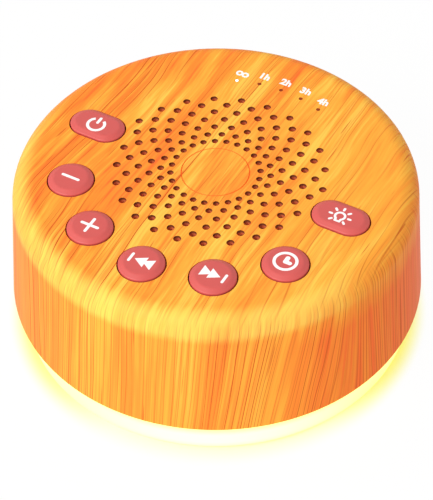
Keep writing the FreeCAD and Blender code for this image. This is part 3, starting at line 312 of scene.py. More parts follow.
def new_group(name, inputs, outputs):
    """An empty shader node group; the default, a colour or a number, gives each input's kind."""
    tree = bpy.data.node_groups.new(name, "ShaderNodeTree")
    for label, default in inputs:
        is_color = isinstance(default, tuple)
        kind = "NodeSocketColor" if is_color else "NodeSocketFloat"
        socket = tree.interface.new_socket(label, in_out="INPUT", socket_type=kind)
        socket.default_value = opaque(default) if is_color else default
    for label, kind in outputs:
        tree.interface.new_socket(label, in_out="OUTPUT", socket_type=f"NodeSocket{kind}")
    entry = tree.nodes.new("NodeGroupInput")
    leave = tree.nodes.new("NodeGroupOutput")
    return tree, entry.outputs, leave.inputs


def use_group(tree, name, **values):
    """One use of a node group, with its own values."""
    made = tree.nodes.new("ShaderNodeGroup")
    made.node_tree = bpy.data.node_groups[name]
    for label, value in values.items():
        socket = made.inputs[label]
        socket.default_value = opaque(value) if isinstance(value, tuple) else value
    return made.outputs


def new_material(name, roughness=0.5, **settings):
    """A material with one Principled shader; settings are its own socket values."""
    material = bpy.data.materials.new(name)
    material.use_nodes = True
    shader = material.node_tree.nodes["Principled BSDF"]
    shader.inputs["Roughness"].default_value = roughness
    for label, value in settings.items():
        socket = shader.inputs[label.replace("_", " ")]
        socket.default_value = opaque(value) if isinstance(value, tuple) else value
    return material, material.node_tree, shader


def give_bump(tree, shader, height, strength, distance):
    """Turns a height into the shader's normal."""
    bump = add_node(tree, "ShaderNodeBump", {"Height": height, "Strength": strength, "Distance": distance})
    tree.links.new(bump.outputs[0], shader.inputs["Normal"])


def give_surface(tree, shader, outputs, bump_strength, bump_distance):
    """Feeds a group's colour, roughness and height to the shader."""
    tree.links.new(outputs["Color"], shader.inputs["Base Color"])
    if "Roughness" in outputs:
        tree.links.new(outputs["Roughness"], shader.inputs["Roughness"])
    give_bump(tree, shader, outputs["Height"], bump_strength, bump_distance)


def dress(material, *node_names):
    """Gives CAD nodes a material."""
    for name in node_names:
        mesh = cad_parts[name].data
        mesh.materials.clear()
        mesh.materials.append(material)


# Shared surfaces

def unevenness(tree, mixed, entry, leave, roughness_reach):
    """Feeds a noise's swing about its middle to the colour and the roughness of a surface."""
    swing = calc(tree, "SUBTRACT", mixed, 0.5)
    shade = calc(tree, "MULTIPLY", swing, entry["Variation"])
    value = calc(tree, "MULTIPLY_ADD", shade, 4.0, 1.0)
    tree.links.new(darkened(tree, entry["Tone"], value), leave["Color"])
    rough = calc(tree, "MULTIPLY_ADD", swing, roughness_reach, entry["Roughness"], clamp=True)
    tree.links.new(rough, leave["Roughness"])


def make_moulded():
    """Fine even texture of moulded plastic, rubber, paint or foam."""
    tree, entry, leave = new_group(
        "moulded_surface",
        [("Tone", (0.5, 0.5, 0.5)), ("Roughness", 0.5), ("Grain", 0.3), ("Variation", 0.06)],
        [("Color", "Color"), ("Roughness", "Float"), ("Height", "Float")])
    place = millimetres(tree)
    fine_scale = calc(tree, "DIVIDE", 1.0, entry["Grain"])
    fine = cloud(tree, place, scale=fine_scale, detail=3.0, roughness=0.6)
    broad = cloud(tree, place, scale=0.12, detail=2.0)
    mixed = calc(tree, "ADD", calc(tree, "MULTIPLY", fine, 0.45), calc(tree, "MULTIPLY", broad, 0.55))
    unevenness(tree, mixed, entry, leave, 0.5)
    tree.links.new(fine, leave["Height"])


def make_metal():
    """Rolled or plated metal, with faint drawn lines and cloudy patches."""
    tree, entry, leave = new_group(
        "metal_surface",
        [("Tone", (0.6, 0.6, 0.6)), ("Roughness", 0.35), ("Drawn", 6.0), ("Variation", 0.15)],
        [("Color", "Color"), ("Roughness", "Float"), ("Height", "Float")])
    place = millimetres(tree)
    across, along, up = parts_of(tree, place)
    drawn_across = calc(tree, "MULTIPLY", across, entry["Drawn"])
    lines = cloud(tree, vector(tree, drawn_across, calc(tree, "MULTIPLY", along, 0.3), up), detail=3.0)
    patches = cloud(tree, place, scale=0.35, detail=3.0, distortion=0.6)
    mixed = calc(tree, "ADD", calc(tree, "MULTIPLY", lines, 0.4), calc(tree, "MULTIPLY", patches, 0.6))
    unevenness(tree, mixed, entry, leave, 0.6)
    tree.links.new(lines, leave["Height"])


def make_weave():
    """A plain weave of threads in the level plane."""
    tree, entry, leave = new_group(
        "weave_surface",
        [("Thread", (0.1, 0.1, 0.1)), ("Gap", (0.01, 0.01, 0.01)), ("Pitch", 0.4)],
        [("Color", "Color"), ("Height", "Float")])
    across, along, _ = parts_of(tree, millimetres(tree))
    turn = calc(tree, "DIVIDE", math.pi, entry["Pitch"])
    warp = calc(tree, "SINE", calc(tree, "MULTIPLY", across, turn))
    weft = calc(tree, "SINE", calc(tree, "MULTIPLY", along, turn))
    thread = calc(tree, "MAXIMUM", calc(tree, "ABSOLUTE", warp), calc(tree, "ABSOLUTE", weft))
    body = rises(tree, thread, 0.55, 0.98)
    loose = cloud(tree, millimetres(tree), scale=0.4, detail=2.0)
    shaded = calc(tree, "MULTIPLY", body, rises(tree, loose, 0.2, 0.8, 0.8, 1.0))
    tree.links.new(tint(tree, shaded, entry["Gap"], entry["Thread"]), leave["Color"])
    tree.links.new(calc(tree, "ADD", body, calc(tree, "MULTIPLY", warp, weft)), leave["Height"])


def grain_lines(tree, grain, hills, spacing, bend, seed, width):
    """Thin contour lines of a hilly field and the soft shade on one side of each."""
    count = calc(tree, "MULTIPLY_ADD", grain, 1 / spacing, calc(tree, "MULTIPLY", hills, bend))
    part = calc(tree, "FRACT", count)
    number = calc(tree, "ADD", calc(tree, "FLOOR", count), seed)
    noise = add_node(tree, "ShaderNodeTexWhiteNoise", {"W": number}, noise_dimensions="1D")
    own = noise.outputs["Value"]
    place = calc(tree, "MULTIPLY_ADD", own, 0.5, 0.25)
    away = calc(tree, "ABSOLUTE", calc(tree, "SUBTRACT", part, place))
    core = calc(tree, "SUBTRACT", 1.0, rises(tree, away, width * 0.3, width))
    flank = calc(tree, "MULTIPLY", rises(tree, part, 0.0, 0.25), rises(tree, part, 0.9, 0.3))
    strength = rises(tree, own, 0.1, 0.9, 0.15, 1.0)
    return calc(tree, "MULTIPLY", core, strength), calc(tree, "MULTIPLY", flank, strength)


def grain_layer(tree, entry, pitch, straight, length, shift, contrast=1.0, line_floor=0.0,
                line_share=1.0):
    """Wood grain along lines of equal `straight`: its colour, its line mask and its fibres."""
    def field(name):
        """One of the noises, stretched along the grain."""
        across_scale, along_scale, seed, detail, roughness = GRAIN_FIELDS[name]
        at = vector(tree, calc(tree, "MULTIPLY", grain, across_scale),
                    calc(tree, "MULTIPLY", length, along_scale), seed)
        return cloud(tree, at, detail=detail, roughness=roughness)

    def lines(name, spacing, bend, width):
        """Lines that one of the noises bends."""
        seed = GRAIN_FIELDS[name][2]
        return grain_lines(tree, grain, field(name), spacing, bend, seed, width)

    grain = straight
    wave = calc(tree, "SUBTRACT", field("wave"), 0.5)
    ripple = calc(tree, "SUBTRACT", field("ripple"), 0.5)
    grain = calc(tree, "MULTIPLY_ADD", wave, WAVE_REACH, straight)
    grain = calc(tree, "MULTIPLY_ADD", ripple, RIPPLE_REACH, grain)

    swell = calc(tree, "MULTIPLY_ADD", straight, 2 * math.pi / SWELL_PITCH, SWELL_PHASE)
    swell = calc(tree, "COSINE", swell)
    swell = calc(tree, "MULTIPLY_ADD", straight, SWELL_SLOPE, swell)
    broad = calc(tree, "MULTIPLY", field("broad_band"), WIDE_BAND_WEIGHT)
    middle = calc(tree, "MULTIPLY", field("middle_band"), WIDE_BAND_WEIGHT)
    bands = calc(tree, "SUBTRACT", calc(tree, "ADD", broad, middle), BAND_OFFSET)
    bands = calc(tree, "MULTIPLY_ADD", field("narrow_band"), NARROW_BAND_WEIGHT, bands)
    bands = calc(tree, "MULTIPLY_ADD", swell, SWELL_WEIGHT, bands)
    bands = calc(tree, "MULTIPLY_ADD", calc(tree, "SUBTRACT", bands, 0.5), contrast, 0.5)
    bands = calc(tree, "ADD", bands, shift)
    low = tint(tree, rises(tree, bands, *PALE_TO_GOLDEN), entry["pale"], entry["golden"])
    high = tint(tree, rises(tree, bands, *ORANGE_TO_STREAK), entry["orange"], entry["streak"])
    surface = tint(tree, rises(tree, bands, *GOLDEN_TO_ORANGE), low, high)

    main_line, main_flank = lines("main_hills", pitch, MAIN_LINE_BEND, MAIN_LINE_WIDTH)
    fine_line, fine_flank = lines("fine_hills", pitch * FINE_PITCH_SHARE, FINE_LINE_BEND, FINE_LINE_WIDTH)
    strength = rises(tree, field("main_strength"), 0.38, 0.6)
    fine_strength = rises(tree, field("fine_strength"), 0.4, 0.62, line_floor, 1.0)
    main_floor = max(line_floor, 0.15)
    main_strength = calc(tree, "MULTIPLY_ADD", strength, 1.0 - main_floor, main_floor)
    fine_strength = calc(tree, "MULTIPLY", fine_strength, 0.6 + 0.2 * line_floor)
    mask = calc(tree, "MAXIMUM", calc(tree, "MULTIPLY", main_line, main_strength),
                calc(tree, "MULTIPLY", fine_line, fine_strength))
    mask = calc(tree, "MULTIPLY", mask, line_share)
    flank = calc(tree, "MAXIMUM", main_flank, calc(tree, "MULTIPLY", fine_flank, 0.5))
    flank_strength = calc(tree, "MULTIPLY", calc(tree, "MULTIPLY", strength, line_share), 0.4)
    surface = tint(tree, calc(tree, "MULTIPLY", flank, flank_strength), surface, entry["streak"])
    surface = tint(tree, mask, surface, entry["line"])
    dash = rises(tree, field("dash"), 0.77, 0.84, 0.0, 0.7)
    surface = tint(tree, dash, surface, entry["line"])
    fibre = field("fibre")
    lift = rises(tree, fibre, 0.25, 0.75, 0.95, 1.04)
    return darkened(tree, surface, lift), mask, fibre


def make_wood(settings):
    """Straight wood grain that runs front to back over the top and down the side wall."""
    names = ("pale", "golden", "orange", "streak", "line", "crest", "bore")
    tree, entry, leave = new_group(
        "wood_print", [(name, tuple(getattr(settings, name))) for name in names],
        [("Color", "Color"), ("Roughness", "Float"), ("Height", "Float")])
    pitch = settings.line_pitch / MM
    across, along, up = parts_of(tree, millimetres(tree))
    radius = distance_from_axis(tree, across, along)
    drop = calc(tree, "MAXIMUM", calc(tree, "SUBTRACT", TOP / MM, up), 0.0)
    length = calc(tree, "MULTIPLY_ADD", drop, GRAIN_FALL, along)

    # The rounded edge: a painted highlight, paler and yellower towards the front where the key light falls
    toward_front = calc(tree, "MULTIPLY_ADD", along, -0.966, calc(tree, "MULTIPLY", across, -0.2))
    crest = calc(tree, "MULTIPLY", rises(tree, radius, *TOP_TO_EDGE),
                 rises(tree, drop, *EDGE_TO_SIDE, 1.0, 0.0))
    crest = calc(tree, "MULTIPLY", crest, rises(tree, toward_front, *PAINTED_HIGHLIGHT_REACH))

    # The top, with a darker heart towards the back and a calmer right side
    heart = calc(tree, "ABSOLUTE", calc(tree, "SUBTRACT", across, HEART_AT))
    heart = rises(tree, heart, *HEART_WIDTH, HEART_SHIFT, 0.0)
    heart = calc(tree, "MULTIPLY", heart, rises(tree, along, *HEART_ENDS))
    # The painted edge highlight also shifts the top's bands towards pale
    shift = calc(tree, "MULTIPLY_ADD", crest, PAINTED_HIGHLIGHT_SHIFT, heart)
    shift = calc(tree, "ADD", shift, rises(tree, across, *CALM_RIGHT, 0.0, CALM_SHIFT))
    calm = rises(tree, across, *CALM_RIGHT, 1.0, CALM_CONTRAST)
    surface, mask, fibre = grain_layer(tree, entry, pitch, across, length, shift, calm, 0.0, calm)

    # The side: painted shade as redder bands on the right, a little redder to the left, and the painted
    # edge highlight shifting the bands to pale
    turn = calc(tree, "ARCTAN2", across, calc(tree, "ABSOLUTE", along))
    lean = calc(tree, "MULTIPLY", rises(tree, turn, *LEAN_STARTS, 0.0, LEAN),
                rises(tree, turn, *LEAN_ENDS, 1.0, 0.0))
    round_edge = calc(tree, "MULTIPLY_ADD", drop, lean, calc(tree, "MULTIPLY", turn, EDGE_RADIUS))
    side_band_shift = calc(tree, "MULTIPLY", rises(tree, turn, *SHADED_RIGHT_TURNS, 0.0, SHADED_RIGHT_SHIFT),
                  rises(tree, drop, *SHADED_RIGHT_DEPTH, 0.3, 1.0))
    side_band_shift = calc(tree, "MULTIPLY_ADD", rises(tree, turn, *RED_LEFT), RED_LEFT_SHIFT, side_band_shift)
    side_band_shift = calc(tree, "MULTIPLY_ADD", rises(tree, turn, *RED_FAR_LEFT), RED_FAR_LEFT_SHIFT, side_band_shift)
    side_band_shift = calc(tree, "MULTIPLY_ADD", crest, PAINTED_HIGHLIGHT_SHIFT, side_band_shift)
    side_surface, side_mask, side_fibre = grain_layer(
        tree, entry, pitch * SIDE_PITCH_SHARE, round_edge, length, side_band_shift, SIDE_CONTRAST, SIDE_LINE_FLOOR)
    on_side = rises(tree, calc(tree, "ADD", radius, drop), *SIDE_GRAIN)
    surface = tint(tree, on_side, surface, side_surface)
    mask = between(tree, on_side, mask, side_mask)
    fibre = between(tree, on_side, fibre, side_fibre)
    # Painted highlight: the rounded edge is tinted towards its highlight colour
    surface = tint(tree, calc(tree, "MULTIPLY", crest, PAINTED_HIGHLIGHT_TINT), surface, entry["crest"])

    # Plain plastic in the holes and the openings, with painted shade and light: the grille hole walls
    # darker just below the rim and lighter deeper down, the other openings a little lighter, and the groove
    # painted as a redder line of shade
    below = calc(tree, "GREATER_THAN", drop, 0.03)
    inside = calc(tree, "MULTIPLY", below, calc(tree, "LESS_THAN", radius, OPENINGS_RADIUS))
    groove = calc(tree, "MULTIPLY", calc(tree, "LESS_THAN", drop, GROOVE_FLOOR),
                  calc(tree, "COMPARE", radius, GROOVE_RADIUS, GROOVE_REACH))
    painted_hole_shade = rises(tree, drop, 0.3, 1.2, 0.3, 1.5)
    painted_hole_shade = between(tree, calc(tree, "GREATER_THAN", radius, GRILLE_RADIUS), painted_hole_shade, 1.1)
    bore = darkened(tree, entry["bore"], painted_hole_shade)
    bore = tint(tree, groove, bore, tint(tree, 0.4, entry["streak"], surface))
    tree.links.new(tint(tree, inside, surface, bore), leave["Color"])
    rough = calc(tree, "MULTIPLY_ADD", mask, 0.14, 0.40)
    tree.links.new(calc(tree, "MULTIPLY_ADD", fibre, 0.06, rough), leave["Roughness"])
    pressed = calc(tree, "ADD", calc(tree, "MULTIPLY", mask, 0.7), calc(tree, "MULTIPLY", fibre, 0.25))
    tree.links.new(calc(tree, "SUBTRACT", 1.0, pressed), leave["Height"])


def moulded(name, color, roughness, grain=0.3, variation=0.06, bump=0.15, depth=0.04 * MM, **settings):
    """A moulded plastic, rubber, paint or foam."""
    material, tree, shader = new_material(name, roughness, **settings)
    outputs = use_group(tree, "moulded_surface", Tone=color, Roughness=roughness, Grain=grain,
                        Variation=variation)
    give_surface(tree, shader, outputs, bump, depth)
    return material


def metal(name, color, roughness, drawn=6.0, variation=0.15, bump=0.08, **settings):
    """A bare or plated metal."""
    material, tree, shader = new_material(name, roughness, Metallic=1.0, **settings)
    outputs = use_group(tree, "metal_surface", Tone=color, Roughness=roughness, Drawn=drawn,
                        Variation=variation)
    give_surface(tree, shader, outputs, bump, 0.02 * MM)
    return material


def woven(name, thread, gap, pitch, roughness=0.85, bump=0.4):
    """A woven cloth that lies level."""
    material, tree, shader = new_material(name, roughness)
    outputs = use_group(tree, "weave_surface", Thread=thread, Gap=gap, Pitch=pitch)
    give_surface(tree, shader, outputs, bump, 0.05 * MM)
    return material


# Mesh helpers

def upright(angle):
    """A turn about the upright axis."""
    return Matrix.Rotation(angle, 4, "Z")


def add_bar(bm, start, end, width, height):
    """A stroke with rounded ends, lying level; all in millimetres."""
    run = Vector(end) - Vector(start)
    middle = (Vector(start) + Vector(end)) / 2
    size = Matrix.Diagonal((run.length + width, width, height, 1.0))
    place = Matrix.Translation((middle.x, middle.y, 0.0)) @ upright(math.atan2(run.y, run.x))
    made = bmesh.ops.create_cube(bm, size=1.0, matrix=place @ size)
    corners = [edge for edge in {edge for vert in made["verts"] for edge in vert.link_edges}
               if abs(edge.verts[0].co.z - edge.verts[1].co.z) > height / 2]
    corners.sort(key=lambda edge: (edge.verts[0].co.x, edge.verts[0].co.y))
    bmesh.ops.bevel(bm, geom=corners, offset=width * 0.47, offset_type="OFFSET", segments=6, profile=0.5,
                    affect="EDGES", material=-1)


def add_arc(bm, centre, radius, width, height, start=0.0, sweep=2 * math.pi):
    """A flat ring, or part of one, with square ends."""
    corners = []
    for out, up in ((-0.5, -0.5), (0.5, -0.5), (0.5, 0.5), (-0.5, 0.5)):
        reach = radius + out * width
        across = centre[0] + reach * math.cos(start)
        along = centre[1] + reach * math.sin(start)
        corners.append(bm.verts.new((across, along, up * height)))
    loop = [bm.edges.new((corners[index], corners[(index + 1) % 4])) for index in range(4)]
    whole = abs(sweep - 2 * math.pi) < 1e-6
    steps = max(6, round(48 * sweep / (2 * math.pi)))
    made = bmesh.ops.spin(bm, geom=corners + loop, cent=(centre[0], centre[1], 0.0), axis=(0.0, 0.0, 1.0),
                          angle=sweep, steps=steps, use_merge=whole, use_duplicate=False)
    if not whole:
        last = [item for item in made["geom_last"] if isinstance(item, bmesh.types.BMEdge)]
        bmesh.ops.holes_fill(bm, edges=loop + last, sides=4)


def add_arrow_head(bm, tip, length, width, height):
    """A triangle that points along x, to the left for a negative length."""
    place = Matrix.Translation((tip[0] - length / 3 * 2, tip[1], 0.0))
    size = Matrix.Diagonal((length / 1.5, width / math.sqrt(3), height, 1.0))
    bmesh.ops.create_cone(bm, cap_ends=True, segments=3, radius1=1.0, radius2=1.0, depth=1.0,
                          matrix=place @ size @ upright(-math.pi / 2))


def new_piece(name, bm, place, material, body):
    """Makes a piece of a bmesh drawn in millimetres, at a place in metres."""
    bmesh.ops.remove_doubles(bm, verts=bm.verts, dist=1e-5)
    bmesh.ops.recalc_face_normals(bm, faces=bm.faces)
    mesh = bpy.data.meshes.new(name)
    bm.transform(Matrix.Translation(place) @ Matrix.Scale(MM, 4))
    bm.to_mesh(mesh)
    bm.free()
    mesh.materials.append(material)
    piece = bpy.data.objects.new(name, mesh)
    bpy.context.scene.collection.objects.link(piece)
    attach(piece, body)
    return piece


def letters(text, size, height, bold):
    """A word as a mesh, centred at the origin; all in millimetres."""
    curve = bpy.data.curves.new("letters", type="FONT")
    curve.body = text
    curve.size = size
    curve.extrude = height / 2
    curve.offset = bold
    curve.align_x = "CENTER"
    curve.align_y = "CENTER"
    holder = bpy.data.objects.new("letters", curve)
    bpy.context.scene.collection.objects.link(holder)
    bpy.context.view_layer.update()
    made = holder.evaluated_get(bpy.context.evaluated_depsgraph_get())
    mesh = bpy.data.meshes.new_from_object(made)
    bm = bmesh.new()
    bm.from_mesh(mesh)
    bpy.data.objects.remove(holder)
    bpy.data.curves.remove(curve)
    bpy.data.meshes.remove(mesh)
    return bm


# Signs of the keys, drawn about their centre in millimetres

def power_sign(bm, stroke, height):
    gap = math.radians(34)
    add_arc(bm, (0.0, -0.15), 2.05, stroke, height, math.pi / 2 + gap, 2 * math.pi - 2 * gap)
    add_bar(bm, (0.0, 0.55), (0.0, 2.15), stroke, height * 1.02)


def minus_sign(bm, stroke, height):
    add_bar(bm, (-2.05, 0.0), (2.05, 0.0), stroke, height)


def plus_sign(bm, stroke, height):
    add_bar(bm, (-2.05, 0.0), (2.05, 0.0), stroke, height)
    add_bar(bm, (0.0, -2.05), (0.0, 2.05), stroke, height * 1.02)


def previous_sign(bm, stroke, height):
    add_bar(bm, (-2.7, -1.1), (-2.7, 1.1), stroke * 0.9, height)
    add_arrow_head(bm, (-1.7, 0.0), -2.7, 3.2, height)
    add_arrow_head(bm, (0.2, 0.0), -2.7, 3.2, height * 1.02)


def next_sign(bm, stroke, height):
    add_bar(bm, (2.85, -1.1), (2.85, 1.1), stroke * 0.9, height)
    add_arrow_head(bm, (1.85, 0.0), 2.7, 3.2, height)
    add_arrow_head(bm, (-0.2, 0.0), 2.7, 3.2, height * 1.02)


def timer_sign(bm, stroke, height):
    add_arc(bm, (0.0, 0.0), 2.55, stroke, height)
    add_bar(bm, (0.05, -0.15), (0.05, 1.1), stroke * 1.5, height * 1.02)
    add_bar(bm, (0.05, -0.15), (1.15, -0.15), stroke * 1.4, height * 1.04)


def light_sign(bm, stroke, height):
    slim = stroke * 0.78
    gap = math.radians(36)
    add_arc(bm, (0.0, -0.1), 1.15, slim, height, -math.pi / 2 + gap, 2 * math.pi - 2 * gap)
    for side in (-1, 1):
        add_bar(bm, (side * 0.62, -1.07), (side * 0.55, -1.7), slim, height * 1.02)
    add_bar(bm, (-0.55, -1.75), (0.55, -1.75), slim, height * 1.04)
    for step in range(-3, 4):
        angle = math.radians(90 + 45 * step)
        heading = Vector((math.cos(angle), math.sin(angle)))
        middle = Vector((0.0, -0.1))
        add_bar(bm, middle + heading * 2.05, middle + heading * 2.6, slim, height)


SIGNS = {
    "power": power_sign,
    "volume_down": minus_sign,
    "volume_up": plus_sign,
    "previous": previous_sign,
    "next": next_sign,
    "timer": timer_sign,
    "light": light_sign,
}


# Studio

def add_floor(settings):
    """A pale floor that turns white outwards, with the night light's glow painted round the foot."""
    bm = bmesh.new()
    bmesh.ops.create_circle(bm, cap_ends=True, segments=96, radius=FLOOR_RADIUS)
    mesh = bpy.data.meshes.new("studio_floor")
    bm.to_mesh(mesh)
    bm.free()
    floor = bpy.data.objects.new("studio_floor", mesh)
    bpy.context.scene.collection.objects.link(floor)
    material, tree, shader = new_material("studio_floor", 0.9, Specular_IOR_Level=0.0)
    place = millimetres(tree)
    across, along, _ = parts_of(tree, place)
    radius = distance_from_axis(tree, across, along)
    dust = rises(tree, cloud(tree, place, scale=0.02, detail=2.0), 0.2, 0.8, 0.985, 1.0)
    # Painted glow: near the foot, the halo colours tint both the floor's lit colour and the white the
    # camera sees, yellower towards the camera's left and right
    sideways = calc(tree, "MULTIPLY_ADD", across, 0.867, calc(tree, "MULTIPLY", along, 0.499))
    sideways = calc(tree, "DIVIDE", calc(tree, "ABSOLUTE", sideways), radius)
    halo = tint(tree, rises(tree, sideways, 0.5, 0.95), settings.halo, settings.side_halo)
    outward = rises(tree, radius, *HALO_RADII)
    lit = tint(tree, outward, halo, settings.floor)
    tree.links.new(darkened(tree, lit, dust), shader.inputs["Base Color"])
    white = add_node(tree, "ShaderNodeEmission", {"Color": tint(tree, outward, halo, WHITE)})
    far = rises(tree, radius, *WHITE_RADII, 0.0, WHITE_SHARE)
    share = calc(tree, "MULTIPLY", seen_directly(tree), far)
    mixed = add_node(tree, "ShaderNodeMixShader", {0: share, 1: shader.outputs[0], 2: white.outputs[0]})
    tree.links.new(mixed.outputs[0], tree.nodes["Material Output"].inputs["Surface"])
    mesh.materials.append(material)


def add_sky(settings):
    """Even light from all round, and pure white where it is seen."""
    world = bpy.data.worlds.new("studio_sky")
    bpy.context.scene.world = world
    world.use_nodes = True
    tree = world.node_tree
    background = tree.nodes["Background"]
    background.inputs["Color"].default_value = opaque(WHITE)
    strength = between(tree, seen_directly(tree), settings.world_strength, 1.0)
    tree.links.new(strength, background.inputs["Strength"])


def add_lamp(name, size, power, place):
    """A round soft light that points at the object."""
    lamp = bpy.data.lights.new(name, "AREA")
    lamp.shape = "DISK"
    lamp.size = size
    lamp.energy = power
    light = bpy.data.objects.new(name, lamp)
    bpy.context.scene.collection.objects.link(light)
    light.location = Vector(place)
    aim = Vector(LIGHTS_AIM) - light.location
    light.rotation_euler = aim.to_track_quat("-Z", "Y").to_euler()


def add_camera(settings):
    """The camera that took the photo's view."""
    lens = bpy.data.cameras.new("camera")
    lens.lens = settings.lens
    lens.sensor_width = 36.0
    lens.sensor_fit = "AUTO"
    lens.clip_start = 0.01
    lens.clip_end = 50.0
    camera = bpy.data.objects.new("camera", lens)
    bpy.context.scene.collection.objects.link(camera)
    forward = Vector(CAMERA_FORWARD).normalized()
    up = Vector(CAMERA_UP)
    up = (up - forward * up.dot(forward)).normalized()
    turn = Matrix((forward.cross(up), up, -forward)).transposed().to_4x4()
    camera.matrix_world = Matrix.Translation(Vector(CAMERA_AT) * MM) @ turn
    bpy.context.scene.camera = camera


# Operators

class SOUND_MACHINE_OT_housing(bpy.types.Operator):
    """Gives the housing its printed wood"""
    bl_idname = "sound_machine.housing"
    bl_label = "Wood housing"

    def execute(self, context):
        make_wood(context.scene.sound_machine_wood)
        material, tree, shader = new_material("wood_print", 0.42, Specular_IOR_Level=0.04)
        outputs = use_group(tree, "wood_print")
        give_surface(tree, shader, outputs, 0.12, 0.05 * MM)
        dress(material, "top_housing")
        return {"FINISHED"}


class SOUND_MACHINE_OT_keys(bpy.types.Operator):
    """Finishes the key caps and prints their signs"""
    bl_idname = "sound_machine.keys"
    bl_label = "Keys and signs"

    def execute(self, context):
        settings = context.scene.sound_machine_keys
        cap = moulded("key_cap", tuple(settings.cap), 0.46, grain=0.22, variation=0.05, bump=0.1)
        stem = moulded("plunger_plastic", tone(66, 64, 62), 0.5)
        for name in KEYS:
            dress(cap, f"{name}_button")
            dress(stem, f"{name}_plunger")
        paint = moulded("sign_print", tuple(settings.sign), 0.5, grain=0.4, variation=0.02)
        stroke = settings.stroke / MM
        height = 2 * settings.print_height / MM
        for name, draw in SIGNS.items():
            low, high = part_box(f"{name}_button")
            bm = bmesh.new()
            draw(bm, stroke, height)
            setback = SIGN_SETBACKS.get(name, 0.0) * MM
            place = ((low.x + high.x) / 2, (low.y + high.y) / 2 - setback, high.z)
            new_piece(f"{name}_sign", bm, place, paint, f"{name}_key")
        return {"FINISHED"}


class SOUND_MACHINE_OT_timer_marks(bpy.types.Operator):
    """Prints the hour marks and lights the first timer light"""
    bl_idname = "sound_machine.timer_marks"
    bl_label = "Timer marks"

    def execute(self, context):
        settings = context.scene.sound_machine_timer
        paint = bpy.data.materials["sign_print"]
        height = 2 * context.scene.sound_machine_keys.print_height / MM
        radius = TIMER_LIGHT_RADIUS * MM
        places = []
        for step in (2, 1, 0, -1, -2):
            angle = math.radians(90 + TIMER_LIGHT_STEP * step)
            places.append(Vector((radius * math.cos(angle), radius * math.sin(angle), TOP)))
        size = settings.letter_size / MM
        for text, place in zip(("1h", "2h", "3h", "4h"), places[1:]):
            bm = letters(text, size, height, LETTER_BOLDNESS)
            mark = place + Vector((-0.1 * MM, settings.mark_offset, 0.0))
            new_piece(f"mark_{text}", bm, mark, paint, "casing")
        bm = bmesh.new()
        for side in (-1, 1):
            add_arc(bm, (side * 0.78, 0.0), 0.66, 0.52, height * (1.0 + 0.01 * side))
        mark = places[0] + Vector((0.1 * MM, settings.mark_offset - 0.2 * MM, 0.0))
        new_piece("mark_endless", bm, mark, paint, "casing")

        guide = moulded("smoked_plastic", tone(150, 60, 20), 0.4, variation=0.03,
                        Specular_IOR_Level=0.1)
        dress(guide, "timer_light_guide")
        lens, tree, shader = new_material("lit_lens", 0.3, Emission_Strength=1.6)
        outputs = use_group(tree, "moulded_surface", Tone=tuple(settings.lit), Roughness=0.3, Grain=0.3,
                            Variation=0.02)
        give_surface(tree, shader, outputs, 0.05, 0.01 * MM)
        tree.links.new(outputs["Color"], shader.inputs["Emission Color"])
        bm = bmesh.new()
        bmesh.ops.create_uvsphere(bm, u_segments=24, v_segments=12, radius=LENS_RADIUS,
                                  matrix=Matrix.Diagonal((1.0, 1.0, LENS_FLATNESS, 1.0)))
        new_piece("lit_lens", bm, places[0] - Vector((0.0, 0.0, 0.04 * MM)), lens, "casing")
        return {"FINISHED"}


class SOUND_MACHINE_OT_base(bpy.types.Operator):
    """Finishes the lit diffuser, the base plate, the feet and the screws"""
    bl_idname = "sound_machine.base"
    bl_label = "Lit base"

    def execute(self, context):
        settings = context.scene.sound_machine_base
        material, tree, shader = new_material("diffuser", 0.5, Emission_Strength=settings.glow_strength)
        outputs = use_group(tree, "moulded_surface", Tone=tuple(settings.diffuser), Roughness=0.5,
                            Grain=0.5, Variation=0.02)
        give_surface(tree, shader, outputs, 0.08, 0.03 * MM)
        _, _, up = parts_of(tree, millimetres(tree))
        facing = add_node(tree, "ShaderNodeLayerWeight", {"Blend": 0.5}).outputs["Facing"]
        height_share = rises(tree, up, 0.5, 3.5)
        near_rim = rises(tree, up, 6.0, 8.5)
        whiter = calc(tree, "MULTIPLY", height_share, calc(tree, "SUBTRACT", 1.0, near_rim))
        whiter = calc(tree, "MULTIPLY", whiter, rises(tree, facing, 0.3, 0.75, 1.0, 0.0))
        glow = tint(tree, whiter, settings.glow, settings.glow_middle)
        tree.links.new(glow, shader.inputs["Emission Color"])
        dress(material, "light_diffuser")
        dress(moulded("base_plastic", tone(226, 224, 218), 0.5, grain=0.45, variation=0.04, bump=0.3),
              "base_plate")
        dress(moulded("rubber", tone(34, 34, 36), 0.75, grain=0.25, variation=0.12, bump=0.4),
              "foot_right", "foot_back", "foot_left", "foot_front")
        dress(metal("screw_steel", tone(176, 176, 180), 0.32), "housing_screws", "key_board_screws",
              "main_board_screws", "light_board_screws", "speaker_screws")
        return {"FINISHED"}


